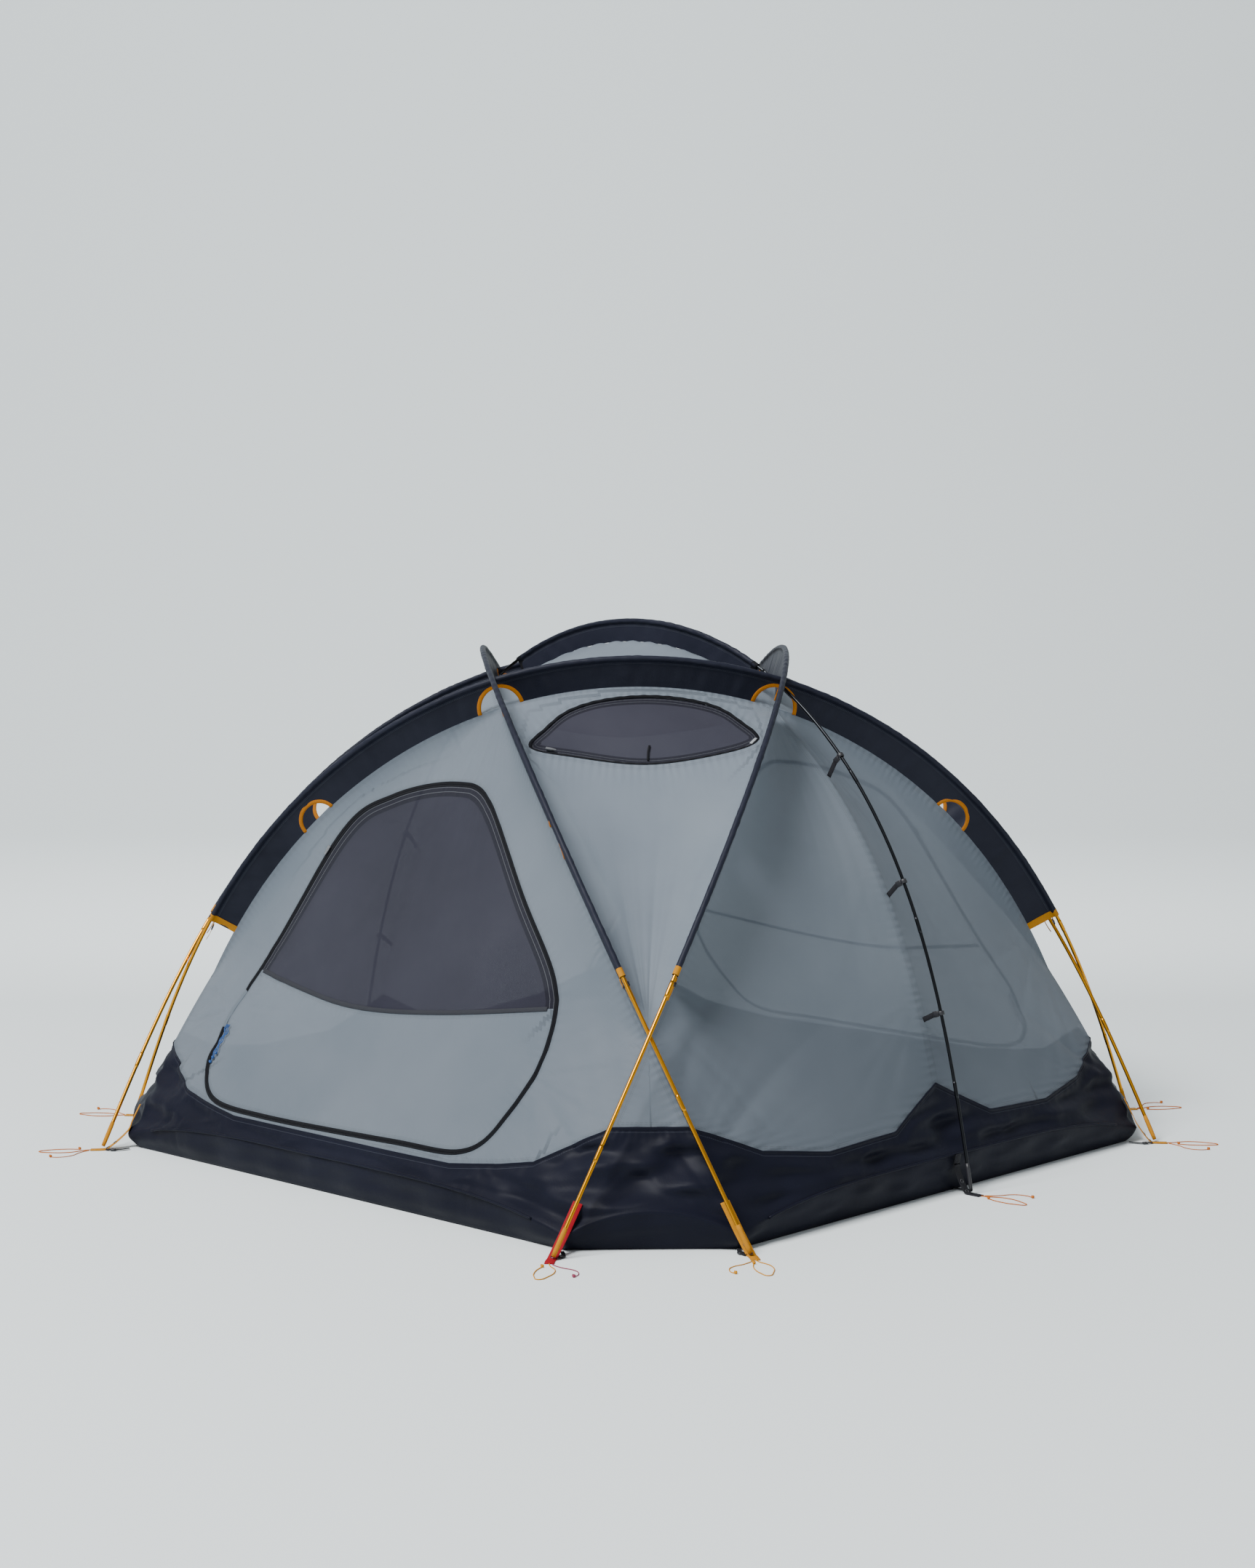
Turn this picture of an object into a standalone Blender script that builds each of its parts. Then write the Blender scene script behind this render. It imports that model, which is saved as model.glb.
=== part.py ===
"""Geodesic dome tent: four gold arch poles in two crossing pairs, one black ridge pole, and a
canopy with a bathtub floor hung inside them. Metres, +Z up, origin on the ground at the floor's
centre. The front door faces -Y, the back door +Y, and the ridge pole stands in the plane Y = 0.
"""

from math import cos, pi, sin

import bmesh
import bpy
import numpy as np
from mathutils import Matrix, Vector
from mathutils.bvhtree import BVHTree

# Poles
FOOT = 1.22  # the larger of a gold foot's two distances from the centre lines
FOOT_INSET = 0.336  # how far a foot stands back from the corner of the square of feet
LEAN = 0.664  # how far the top of an arch leans out over the line between its feet
BEND = 1.252  # angle between an arch's end and its chord, radians
GOLD_RADIUS = 0.005125
RIDGE_FOOT = 1.215
RIDGE_BEND = 1.38
RIDGE_RADIUS = 0.0045
RIDGE_SCALE = 0.994  # the ridge pole passes under the arches
TIP_HEIGHT = 0.006  # height of a pole's end above the ground
STATION = 0.085  # longest step along a pole, as a share of its half
# Each arch leans to one corner (sign of x, sign of y). Lift parts them at the top crossings.
ARCHES = {
    "a": {"lean": (1, 1), "lift": 0.009},
    "b": {"lean": (-1, -1), "lift": 0.009},
    "c": {"lean": (1, -1), "lift": -0.004},
    "d": {"lean": (-1, 1), "lift": -0.004},
}
SPREAD = 0.0068  # parts two arches over a corner: each is outside at its first foot

# Canopy seams, as a scale of the pole curves
SEAM = 0.94
SEAM_AT_FOOT = 0.972
CROWN_SEAM = 0.956
SEAM_LOW = 0.04  # height where the seam's lower end is strapped to its foot
CLOTH = 0.001
GAP = 0.0012  # what each panel stands back from a seam
FLOOR_HALF = 1.135
FLOOR_CORNER = 0.84
CREASE_HALF = 1.155
CREASE_HEIGHT = 0.1

# Sleeves
SLEEVE_END = 0.675  # share of the half arch that a sleeve covers
CROWN_END = 0.235
POCKET_GAP = 0.0013
POCKET_WALL = 0.001
EDGE_LIFT = 0.006  # what a sleeve stands off the canopy
WINDOW_HALF = 0.06
WINDOW_RISE = 0.052
CROSSING_HALF = 0.065
CROSSING_DEPTH = 0.0078  # what a sleeve keeps under its pole's centre at a crossing
MID_WINDOW = 0.465
SLEEVE_AT = np.linspace(-SLEEVE_END, SLEEVE_END, 17)
CROWN_AT = np.linspace(-CROWN_END, CROWN_END, 7)

# Openings, as outlines seen square on
DOOR = [
    (-0.642, 0.24), (-0.650, 0.345), (-0.620, 0.445), (-0.402, 0.88), (-0.25, 1.0),
    (-0.05, 1.04), (0.10, 1.0), (0.35, 0.775), (0.54, 0.58), (0.58, 0.42),
    (0.545, 0.28), (0.46, 0.178), (0.20, 0.166), (-0.32, 0.158), (-0.55, 0.172),
]
DOOR_SPLIT = [(-0.75, 0.53), (-0.45, 0.485), (-0.15, 0.455), (0.2, 0.475), (0.7, 0.54)]
VENT = [
    (-0.29, 0.043), (-0.25, 0.088), (-0.19, 0.132), (-0.10, 0.160), (0.015, 0.171),
    (0.12, 0.164), (0.21, 0.143), (0.27, 0.108), (0.315, 0.060), (0.21, 0.025),
    (0.015, 0.0), (-0.18, 0.020),
]
VENT_HEIGHT = 1.107
VENT_ZIP = ((-0.245, 0.034), (-0.075, 0.006))  # the stretch that its slider runs along
ZIP_GAP = 0.002

SLIDER_SIZE = (0.012, 0.009, 0.004)
SLIDER_TAB = 0.016
SLIDER_LIFT = 0.005
RIDGE_CLIPS = (0.414, 0.60, 0.772)  # places along the half ridge pole
CLIP_HALF = 0.0042  # half a clip's length, as a share of the half pole
TAB_WIDTH = 0.024
TAB_THICK = 0.0018
TAB_TOP = 0.115
CORD_RADIUS = 0.00125
# The stake loop at a foot, as (out from the foot, to its side)
CORD_ROUTE = [
    (0.0, 0.0), (0.02, 0.006), (0.05, 0.022), (0.085, 0.024), (0.12, 0.012),
    (0.142, 0.0), (0.128, -0.010), (0.095, -0.022), (0.06, -0.020), (0.03, -0.012),
]

SQUARE = ((1, 0, 0, 1), (0, -1, 1, 0), (-1, 0, 0, -1), (0, 1, -1, 0))  # quarter turns


# ---------------------------------------------------------------- scene and object helpers
for leftover in list(bpy.data.objects):
    bpy.data.objects.remove(leftover)
TENT = bpy.data.collections.new("dome_tent")
CUTTERS = bpy.data.collections.new("cutters")
for group in (TENT, CUTTERS):
    bpy.context.scene.collection.children.link(group)

FINISHES = {
    "canopy": ((0.27, 0.30, 0.32), 0.6, 0.0),
    "navy": ((0.025, 0.03, 0.045), 0.6, 0.0),
    "mesh": ((0.07, 0.07, 0.09), 0.8, 0.0),
    "gold": ((0.62, 0.24, 0.02), 0.28, 1.0),
    "black": ((0.02, 0.02, 0.024), 0.35, 1.0),
    "webbing": ((0.60, 0.28, 0.01), 0.7, 0.0),
    "red": ((0.58, 0.01, 0.02), 0.7, 0.0),
    "strap": ((0.01, 0.01, 0.012), 0.7, 0.0),
    "cord": ((0.70, 0.25, 0.03), 0.7, 0.0),
    "slider": ((0.55, 0.56, 0.58), 0.35, 1.0),
}


def material(name):
    if name in bpy.data.materials:
        return bpy.data.materials[name]
    colour, roughness, metallic = FINISHES[name]
    made = bpy.data.materials.new(name)
    made.use_nodes = True
    shader = made.node_tree.nodes["Principled BSDF"]
    shader.inputs["Base Color"].default_value = (*colour, 1)
    shader.inputs["Roughness"].default_value = roughness
    shader.inputs["Metallic"].default_value = metallic
    return made


def add_object(name, data, finish=None):
    """A new object in the tent, or a hidden cutter when it has no finish."""
    obj = bpy.data.objects.new(name, data)
    if finish is None:
        CUTTERS.objects.link(obj)
        obj.hide_render = True
        obj.display_type = "WIRE"
    else:
        TENT.objects.link(obj)
        obj.data.materials.append(material(finish))
    return obj


def mesh_of(bm, name):
    bmesh.ops.recalc_face_normals(bm, faces=bm.faces)
    mesh = bpy.data.meshes.new(name)
    bm.to_mesh(mesh)
    bm.free()
    return mesh


def boolean(obj, cutter, operation):
    modifier = obj.modifiers.new(operation.lower(), "BOOLEAN")
    modifier.operation = operation
    modifier.object = cutter
    modifier.solver = "EXACT"


def solidify(obj, thickness):
    """Gives an open sheet its thickness, on the side away from its normals."""
    modifier = obj.modifiers.new("thickness", "SOLIDIFY")
    modifier.thickness = thickness
    modifier.offset = -1
    modifier.use_even_offset = False


def smooth_through(points, steps, closed=False):
    """Points of a Catmull-Rom curve through the given ones."""
    p = np.array(points, float)
    n = len(p)
    out = []
    for i in range(n if closed else n - 1):
        if closed:
            before, a, b, after = p[i - 1], p[i], p[(i + 1) % n], p[(i + 2) % n]
        else:
            before, a, b, after = p[max(i - 1, 0)], p[i], p[i + 1], p[min(i + 2, n - 1)]
        for t in np.arange(steps) / steps:
            out.append(
                0.5 * (2 * a + (b - before) * t + (2 * before - 5 * a + 4 * b - after) * t**2
                       + (3 * a - before - 3 * b + after) * t**3)
            )
    if not closed:
        out.append(p[-1])
    return np.array(out)


def unit(v):
    return v / np.linalg.norm(v)


# ---------------------------------------------------------------- the curves of the poles
def bent_rod(bend, count=801):
    """A rod bent between its ends: places along it from -1 to 1, across (-1 to 1) and up."""
    s = np.linspace(-1, 1, count)
    angle = bend * np.sin(pi * s / 2)
    across = np.concatenate([[0], np.cumsum((np.cos(angle[1:]) + np.cos(angle[:-1])) / 2)])
    up = np.concatenate([[0], np.cumsum(-(np.sin(angle[1:]) + np.sin(angle[:-1])) / 2)])
    return s, across / across[-1] * 2 - 1, up / across[-1] * 2


def arch_curve():
    """Points of the arch that leans to +X +Y, from its foot at -Y to its foot at -X."""
    s, across, up = bent_rod(BEND)
    start = np.array([FOOT - FOOT_INSET, -FOOT])
    end = np.array([-FOOT, FOOT - FOOT_INSET])
    half = np.linalg.norm(end - start) / 2
    height = np.sqrt((up.max() * half) ** 2 - LEAN**2)
    share = up / up.max()
    lean = LEAN * np.array([1, 1]) / np.sqrt(2)
    flat = (start + end) / 2 + np.outer(across, (end - start) / 2) + np.outer(share, lean)
    return s, np.column_stack([flat, share * height])


def ridge_curve():
    """Points of the ridge pole from its foot at +X to its foot at -X."""
    s, across, up = bent_rod(RIDGE_BEND)
    return s, np.column_stack([-across, 0 * s, up]) * RIDGE_FOOT * RIDGE_SCALE


def along(curve, at):
    s, points = curve
    return np.column_stack([np.interp(at, s, points[:, k]) for k in range(3)])


ARCH = arch_curve()
RIDGE = ridge_curve()
PEAK = ARCH[1][:, 2].max()
# Where the arch crosses the plane y = 0, and the diagonal over its corner
AXIS_AT = float(np.interp(0, ARCH[1][:400, 1], ARCH[0][:400]))
CORNER_AT = float(np.interp(0, (ARCH[1][:, 0] + ARCH[1][:, 1])[:400], ARCH[0][:400]))


def arch_points(key, at):
    """Points of one arch's centre line, moved in or out where it crosses the others."""
    spec = ARCHES[key]
    points = along(ARCH, at)
    share = points[:, 2:] / PEAK
    apart = -np.sign(at)[:, None] * SPREAD * (1 - share)
    return points * (1 + spec["lift"] * share + apart) * np.array([*spec["lean"], 1])


def stations(curve_of, needed):
    """Places along a pole: its two ends, those its sleeve and clips need, and some between."""
    at = np.linspace(-1, 1, 2001)
    raised = at[curve_of(at)[:, 2] > TIP_HEIGHT]
    held = [raised[0], *sorted(needed), raised[-1]]
    out = [held[0]]
    for low, high in zip(held, held[1:]):
        steps = max(1, round((high - low) / STATION))
        out.extend(low + (high - low) * (i + 1) / steps for i in range(steps))
    return np.array(out)


def tube(name, points, radius, finish):
    curve = bpy.data.curves.new(name, "CURVE")
    curve.dimensions = "3D"
    curve.bevel_depth = radius
    curve.bevel_resolution = 2
    curve.use_fill_caps = True
    spline = curve.splines.new("POLY")
    spline.points.add(len(points) - 1)
    for target, place in zip(spline.points, points):
        target.co = (*place, 1)
    return add_object(name, curve, finish)


# ---------------------------------------------------------------- sleeves and clips
def keyhole(name, centre, edge, tangents, inner, wall, blade, finish):
    """A pocket round a pole with a blade down to its edge line: a loft of keyhole sections."""
    slots = 6
    start = np.arcsin(blade / 2 / (inner + wall))
    outer_angles = np.linspace(start, 2 * pi - start, slots)
    inner_angles = np.append(outer_angles, [2 * pi - start / 2, 2 * pi + start / 2])
    bm = bmesh.new()
    rings = []
    for middle, low, ahead in zip(centre, edge, tangents):
        down = unit((low - middle) - np.dot(low - middle, ahead) * ahead)
        side = np.cross(ahead, down)
        section = [
            middle + (inner + wall) * (cos(a) * down + sin(a) * side) for a in outer_angles
        ]
        section += [low - blade / 2 * side, low + blade / 2 * side]
        bore = [middle + inner * (cos(a) * down + sin(a) * side) for a in inner_angles]
        rings.append(([bm.verts.new(v) for v in section], [bm.verts.new(v) for v in bore]))
    count = slots + 2
    for (outer_a, inner_a), (outer_b, inner_b) in zip(rings, rings[1:]):
        for i in range(count):
            j = (i + 1) % count
            bm.faces.new((outer_a[i], outer_a[j], outer_b[j], outer_b[i]))
            bm.faces.new((inner_a[j], inner_a[i], inner_b[i], inner_b[j]))
    for outer, bore in (rings[0], rings[-1]):
        for i in range(count):
            j = (i + 1) % count
            bm.faces.new((outer[j], outer[i], bore[i], bore[j]))
    return add_object(name, mesh_of(bm, name), finish)


def tangents_of(points):
    return np.array([unit(t) for t in np.gradient(points, axis=0)])


def window_cutter(name, place, ahead, down, half, rise):
    bm = bmesh.new()
    bmesh.ops.create_cone(
        bm, cap_ends=True, segments=16, radius1=1, radius2=1, depth=1,
    )
    side = np.cross(ahead, down)
    turn = Matrix((ahead * half, -down * rise, side * 0.04)).transposed().to_4x4()
    turn.translation = Vector(place)
    bmesh.ops.transform(bm, matrix=turn, verts=bm.verts)
    return add_object(name, mesh_of(bm, name))


def make_sleeve(key):
    at = SLEEVE_AT
    centre = arch_points(key, at)
    lean = np.array([*ARCHES[key]["lean"], 1])
    edge = along(ARCH, at) * lean * SEAM
    edge += EDGE_LIFT * np.array([unit(v) for v in centre])
    sleeve = keyhole(
        f"sleeve_{key}", centre, edge, tangents_of(centre), GOLD_RADIUS + POCKET_GAP,
        POCKET_WALL, 0.0015, "navy",
    )
    for i, place in enumerate((-MID_WINDOW, AXIS_AT, -AXIS_AT, MID_WINDOW)):
        three = arch_points(key, np.array([place - 0.01, place, place + 0.01]))
        middle, ahead = three[1], unit(three[2] - three[0])
        low = along(ARCH, np.array([place]))[0] * lean * SEAM
        down = unit((low - middle) - np.dot(low - middle, ahead) * ahead)
        crossing = abs(place) < MID_WINDOW
        depth = np.dot(low - middle, down)
        half = CROSSING_HALF if crossing else WINDOW_HALF
        rise = depth - CROSSING_DEPTH if crossing else WINDOW_RISE
        cutter = window_cutter(f"window_{key}_{i}", low, ahead, down, half, rise)
        boolean(sleeve, cutter, "DIFFERENCE")


def make_crown_sleeve():
    centre = along(RIDGE, CROWN_AT)
    edge = centre / RIDGE_SCALE * CROWN_SEAM
    edge += EDGE_LIFT * np.array([unit(v) for v in centre])
    keyhole(
        "sleeve_crown", centre, edge, tangents_of(centre), RIDGE_RADIUS + POCKET_GAP,
        POCKET_WALL, 0.0015, "navy",
    )


def make_clips():
    for side in (1, -1):
        for i, place in enumerate(RIDGE_CLIPS):
            centre = along(RIDGE, np.array([-CLIP_HALF, CLIP_HALF]) - side * place)
            ahead = unit(centre[1] - centre[0])
            edge = centre / RIDGE_SCALE * SEAM + 0.004 * unit(centre[0])
            name = f"clip_{'right' if side > 0 else 'left'}_{i + 1}"
            keyhole(name, centre, edge, [ahead, ahead], RIDGE_RADIUS + POCKET_GAP, 0.003, 0.002,
                    "strap")


# ---------------------------------------------------------------- canopy surfaces
def seam_points(at):
    """The canopy seam under the arch that leans to +X +Y."""
    low = np.clip((np.abs(at) - abs(CORNER_AT)) / (1 - abs(CORNER_AT)), 0, 1)
    scale = SEAM + (SEAM_AT_FOOT - SEAM) * low
    return along(ARCH, at) * scale[:, None]


def low_end():
    """Where along the arch the canopy seam comes down to its strap."""
    at = np.linspace(-1, CORNER_AT, 400)
    return float(np.interp(SEAM_LOW, seam_points(at)[:, 2], at))


LOW_AT = low_end()


def relaxed(grid, fixed, rounds=1500):
    """The sheet stretched between its fixed points: each other point lies amid its neighbours."""
    grid = grid.copy()
    for _ in range(rounds):
        mean = grid.copy()
        mean[1:-1, 1:-1] = (
            grid[:-2, 1:-1] + grid[2:, 1:-1] + grid[1:-1, :-2] + grid[1:-1, 2:]
        ) / 4
        grid = np.where(fixed[..., None], grid, mean)
    return grid


def border(shape):
    fixed = np.zeros(shape, bool)
    fixed[[0, -1]] = True
    fixed[:, [0, -1]] = True
    return fixed


def wall_edge(count):
    """The edge of the +X wall on its -Y side, from its peak down to its strapped corner."""
    upper = seam_points(np.linspace(AXIS_AT, CORNER_AT, count // 2 + 1))
    lower = seam_points(np.linspace(CORNER_AT, LOW_AT, count // 2 + 1))[1:]
    lower = lower[:, [1, 0, 2]] * np.array([-1, -1, 1])  # mirrored across the diagonal
    return np.concatenate([upper, lower])


def wall_surface(ridged, size=33):
    """The +X wall from its peak to the crease over the floor: rows go down, columns to +Y."""
    left = wall_edge(size - 1)
    right = left * np.array([1, -1, 1])
    u = np.linspace(-1, 1, size)[:, None]
    grid = left[:, None] * (1 - u) / 2 + right[:, None] * (1 + u) / 2
    foot = left[-1]
    dip = 1 - u[:, 0] ** 4
    grid[-1, :, 0] = foot[0] + (CREASE_HALF - foot[0]) * dip
    grid[-1, :, 2] = foot[2] + (CREASE_HEIGHT - foot[2]) * dip
    fixed = border(grid.shape[:2])
    if ridged:
        seam = RIDGE[1][:401] * SEAM / RIDGE_SCALE
        middle = size // 2
        heights = np.linspace(left[0, 2], CREASE_HEIGHT, size)[1:-1]
        grid[1:-1, middle, 0] = np.interp(heights, seam[:, 2], seam[:, 0])
        grid[1:-1, middle, 2] = heights
        fixed[:, middle] = True
    return relaxed(grid, fixed)


def upper_corner_surface(size=17):
    """The panel over the +X +Y corner, from the arch across its top down to its point."""
    left = seam_points(np.linspace(AXIS_AT, CORNER_AT, size)) * np.array([1, -1, 1])
    right = left[:, [1, 0, 2]]
    top = seam_points(np.linspace(AXIS_AT, -AXIS_AT, size))
    u = np.linspace(0, 1, size)[:, None]
    t = np.linspace(0, 1, size)[:, None, None]
    grid = left[:, None] * (1 - u) + right[:, None] * u
    grid += (top - top[0] * (1 - u) - top[-1] * u) * (1 - t) ** 2
    return relaxed(grid, border(grid.shape[:2]))


def lower_corner_surface(rows=17, columns=9):
    """The panel between the two legs at the +X +Y corner, from their crossing to the crease."""
    right = seam_points(np.linspace(CORNER_AT, LOW_AT, rows)) * np.array([1, -1, 1])
    left = right[:, [1, 0, 2]]
    u = np.linspace(0, 1, columns)[:, None]
    grid = left[:, None] * (1 - u) + right[:, None] * u
    grid[-1, :, 2] += (CREASE_HEIGHT - SEAM_LOW) * 4 * (u * (1 - u))[:, 0]
    return relaxed(grid, border(grid.shape[:2]))


def crown_surface(size=17):
    """The roof between the four top crossings, held up along the plane y = 0 by the ridge pole."""
    arc = seam_points(np.linspace(AXIS_AT, -AXIS_AT, size))
    near = arc
    far = (arc * np.array([-1, -1, 1]))[::-1]
    left = arc * np.array([1, -1, 1])
    right = (arc * np.array([-1, 1, 1]))[::-1]
    p = np.linspace(0, 1, size)[None, :, None]
    q = np.linspace(0, 1, size)[:, None, None]
    grid = near * (1 - q) + far * q + left[:, None] * (1 - p) + right[:, None] * p
    grid -= (near[0] * (1 - p) + near[-1] * p) * (1 - q) + (far[0] * (1 - p) + far[-1] * p) * q
    ridge = RIDGE[1] * CROWN_SEAM / RIDGE_SCALE
    x = np.linspace(arc[0, 0], -arc[0, 0], size)
    rise = np.interp(-x, -ridge[:, 0], ridge[:, 2])
    rise = (rise - rise[0]) / (rise.max() - rise[0]) * (ridge[:, 2].max() - arc[0, 2])
    fixed = border((size, size))
    for i in range(size):
        grid[i, i] = (x[i], 0, arc[0, 2] + rise[i])
        fixed[i, i] = True
    return relaxed(grid, fixed)


def part_of_columns(grid, first, last, count):
    """Rows of a surface between two places in each of its columns, given as row numbers."""
    rows = np.arange(len(grid))
    steps = np.linspace(0, 1, count)
    out = np.empty((count, grid.shape[1], 3))
    for j in range(grid.shape[1]):
        at = first[j] + (last[j] - first[j]) * steps
        for k in range(3):
            out[:, j, k] = np.interp(at, rows, grid[:, j, k])
    return out


def row_at_height(grid, heights):
    rows = np.arange(len(grid))
    return np.array([
        np.interp(-height, -grid[:, j, 2], rows) for j, height in enumerate(heights)
    ])


def tub_top(u, ridged):
    """Height of the tub's top edge across a wall: high at its corners and at a ridge pole."""
    if ridged:
        heights = (0.275, 0.235, 0.18, 0.17, 0.2, 0.275)
        return np.interp(abs(u), (0, 0.1, 0.24, 0.55, 0.8, 1), heights)
    return np.interp(abs(u), (0.5, 0.68, 0.8, 0.88, 1), (0.142, 0.16, 0.178, 0.215, 0.275))


CORNER_TOP = 0.275
# The columns of a wall's 33 that its solid keeps
COLUMNS = np.array([0, 2, 4, 7, 12, 15, 16, 17, 20, 25, 28, 30, 32])
ACROSS = COLUMNS / 16 - 1


def turned(points, quarter):
    """Points turned about the Z axis by quarter turns."""
    xx, xy, yx, yy = SQUARE[quarter]
    return np.stack(
        [xx * points[..., 0] + xy * points[..., 1], yx * points[..., 0] + yy * points[..., 1],
         points[..., 2]], axis=-1,
    )


def stood_back(grid):
    """The sheet with its border drawn in from the seams."""
    drawn = grid.copy()
    for edge, inner in ((0, 1), (-1, -2)):
        step = grid[inner] - grid[edge]
        drawn[edge] += step / np.linalg.norm(step, axis=-1, keepdims=True) * GAP
    for edge, inner in ((0, 1), (-1, -2)):
        step = grid[:, inner] - grid[:, edge]
        size = np.linalg.norm(step, axis=-1, keepdims=True)
        drawn[:, edge] += step / np.maximum(size, 1e-9) * np.minimum(GAP, size / 2)
    return drawn


def sheet(name, grid, finish, thickness=CLOTH):
    """A closed solid of a sheet whose points are given in rows, seen from outside."""
    bm = bmesh.new()
    rows, columns = grid.shape[:2]
    bmesh.ops.create_grid(bm, x_segments=columns - 1, y_segments=rows - 1, size=1)
    for vert, place in zip(bm.verts, grid.reshape(-1, 3)):
        vert.co = place
    bmesh.ops.remove_doubles(bm, verts=bm.verts, dist=1e-5)
    bmesh.ops.triangulate(bm, faces=bm.faces, quad_method="FIXED")
    mesh = bpy.data.meshes.new(name)
    bm.normal_update()
    middle = grid[rows // 2, columns // 2]
    face = min(bm.faces, key=lambda f: (f.calc_center_median() - Vector(middle)).length)
    if face.normal.dot(Vector(middle)) < 0:
        bmesh.ops.reverse_faces(bm, faces=bm.faces)
    bm.to_mesh(mesh)
    bm.free()
    obj = add_object(name, mesh, finish)
    solidify(obj, thickness)
    return obj


# ---------------------------------------------------------------- openings
def moved_in(outline, by):
    """A closed outline drawn in by a distance; it runs clockwise or not."""
    following = np.roll(outline, -1, axis=0)
    ahead = following - np.roll(outline, 1, axis=0)
    normal = np.column_stack([ahead[:, 1], -ahead[:, 0]])
    normal /= np.linalg.norm(normal, axis=1, keepdims=True)
    area = np.sum(outline[:, 0] * following[:, 1] - outline[:, 1] * following[:, 0])
    return outline - normal * by * np.sign(area)


def prism(name, outline, across, out, near, far, base=(0, 0, 0)):
    """A cutter: an outline in the plane of a level direction and Z, swept along another."""
    bm = bmesh.new()
    across, out, base = Vector((*across, 0)), Vector((*out, 0)), Vector(base)
    ring = [bm.verts.new(base + across * x + Vector((0, 0, z)) + out * near) for x, z in outline]
    face = bm.faces.new(ring)
    swept = bmesh.ops.extrude_face_region(bm, geom=[face])["geom"]
    verts = [v for v in swept if isinstance(v, bmesh.types.BMVert)]
    bmesh.ops.translate(bm, verts=verts, vec=out * (far - near))
    return add_object(name, mesh_of(bm, name))


def make_door_wall(name, quarter, sign):
    """A wall with its door: the wall blank is cut, and the door is what the cut takes out."""
    surface = wall_surface(False)[:, COLUMNS]
    top = row_at_height(surface, tub_top(ACROSS, False) + GAP)
    blank = turned(stood_back(part_of_columns(surface, 0 * top, top, 10)), quarter)
    outline = smooth_through(DOOR, 3, closed=True) * np.array([sign, 1])
    inner = moved_in(outline, ZIP_GAP)
    split = smooth_through(DOOR_SPLIT, 3)
    out = (0, -sign)
    wall = sheet(f"wall_{name}", blank, "canopy")
    boolean(wall, prism(f"door_cut_{name}", outline, (1, 0), out, 0.3, 1.4), "DIFFERENCE")
    stretch = [(DOOR[3][0] * sign, DOOR[3][1]), (DOOR[2][0] * sign, DOOR[2][1])]
    start, end = [np.array(stretch[0]) * (1 - t) + np.array(stretch[1]) * t for t in (0.08, 0.5)]
    make_slider(f"door_{name}", blank, start, end, (1, 0), out, -sign * 0.009)
    for part, finish, below in (("panel", "canopy", True), ("mesh", "mesh", False)):
        piece = sheet(f"door_{name}_{part}", blank, finish)
        shape = split_off(inner, split * np.array([sign, 1]), below)
        kept = prism(f"door_shape_{name}_{part}", shape, (1, 0), out, 0.3, 1.4)
        boolean(piece, kept, "INTERSECT")


def split_off(outline, line, below):
    """The part of a closed outline under or over a line that runs across it."""
    line = line[np.argsort(line[:, 0])] + np.array([0, -0.0006 if below else 0.0006])
    over = outline[:, 1] - np.interp(outline[:, 0], line[:, 0], line[:, 1])
    over = -over if below else over
    first = next(i for i in range(len(over)) if over[i] > 0 and over[i - 1] <= 0)
    outline, over = np.roll(outline, -first, axis=0), np.roll(over, -first)
    count = int((over > 0).sum())
    ends = []
    for inner, outer in ((count - 1, count), (0, -1)):
        t = over[inner] / (over[inner] - over[outer])
        ends.append(outline[inner] * (1 - t) + outline[outer] * t)
    low, high = sorted((ends[0][0], ends[1][0]))
    inside = line[(line[:, 0] > low + 0.01) & (line[:, 0] < high - 0.01)]
    if ends[0][0] > ends[1][0]:
        inside = inside[::-1]
    return np.array([*outline[:count], ends[0], *inside, ends[1]])


def make_slider(name, grid, start, end, across, out, beside):
    """A zip's slider, outside the cloth at the start of a straight stretch of the zip."""
    rows, columns = grid.shape[:2]
    points = [Vector(p) for p in grid.reshape(-1, 3)]
    faces = [
        (r * columns + c, r * columns + c + 1, (r + 1) * columns + c + 1, (r + 1) * columns + c)
        for r in range(rows - 1) for c in range(columns - 1)
    ]
    cloth = BVHTree.FromPolygons(points, faces)
    across, out = Vector((*across, 0)), Vector((*out, 0))
    run = Vector((end[0] - start[0], end[1] - start[1])).normalized()
    places = []
    for x, z in (start, end):
        x, z = x - run.y * beside, z + run.x * beside
        hit, normal, _, _ = cloth.ray_cast(across * x + Vector((0, 0, z)) + out * 1.5, -out)
        places.append((hit, normal if normal.dot(out) > 0 else -normal))
    ahead = (places[1][0] - places[0][0]).normalized()
    normal = (places[0][1] - places[0][1].dot(ahead) * ahead).normalized()
    turn = Matrix((ahead, normal.cross(ahead), normal)).transposed().to_4x4()
    turn.translation = places[0][0] + normal * (SLIDER_SIZE[2] / 2 + SLIDER_LIFT)
    bm = bmesh.new()
    bmesh.ops.create_cube(bm, size=1)
    bmesh.ops.scale(bm, vec=SLIDER_SIZE, verts=bm.verts)
    tab = [face for face in bm.faces if face.normal.x > 0.5]
    grown = bmesh.ops.extrude_discrete_faces(bm, faces=tab)["faces"]
    bmesh.ops.scale(bm, vec=(1, 0.5, 0.4), verts=grown[0].verts)
    bmesh.ops.translate(bm, vec=(SLIDER_TAB, 0, 0.0004), verts=grown[0].verts)
    bmesh.ops.transform(bm, matrix=turn, verts=bm.verts)
    obj = add_object(f"slider_{name}", mesh_of(bm, name), "slider")
    run_length = (places[1][0] - places[0][0]).length
    print(f"slider_{name}: axis {[round(v, 5) for v in ahead]}, travel {run_length:.4f}")
    return obj


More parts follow.
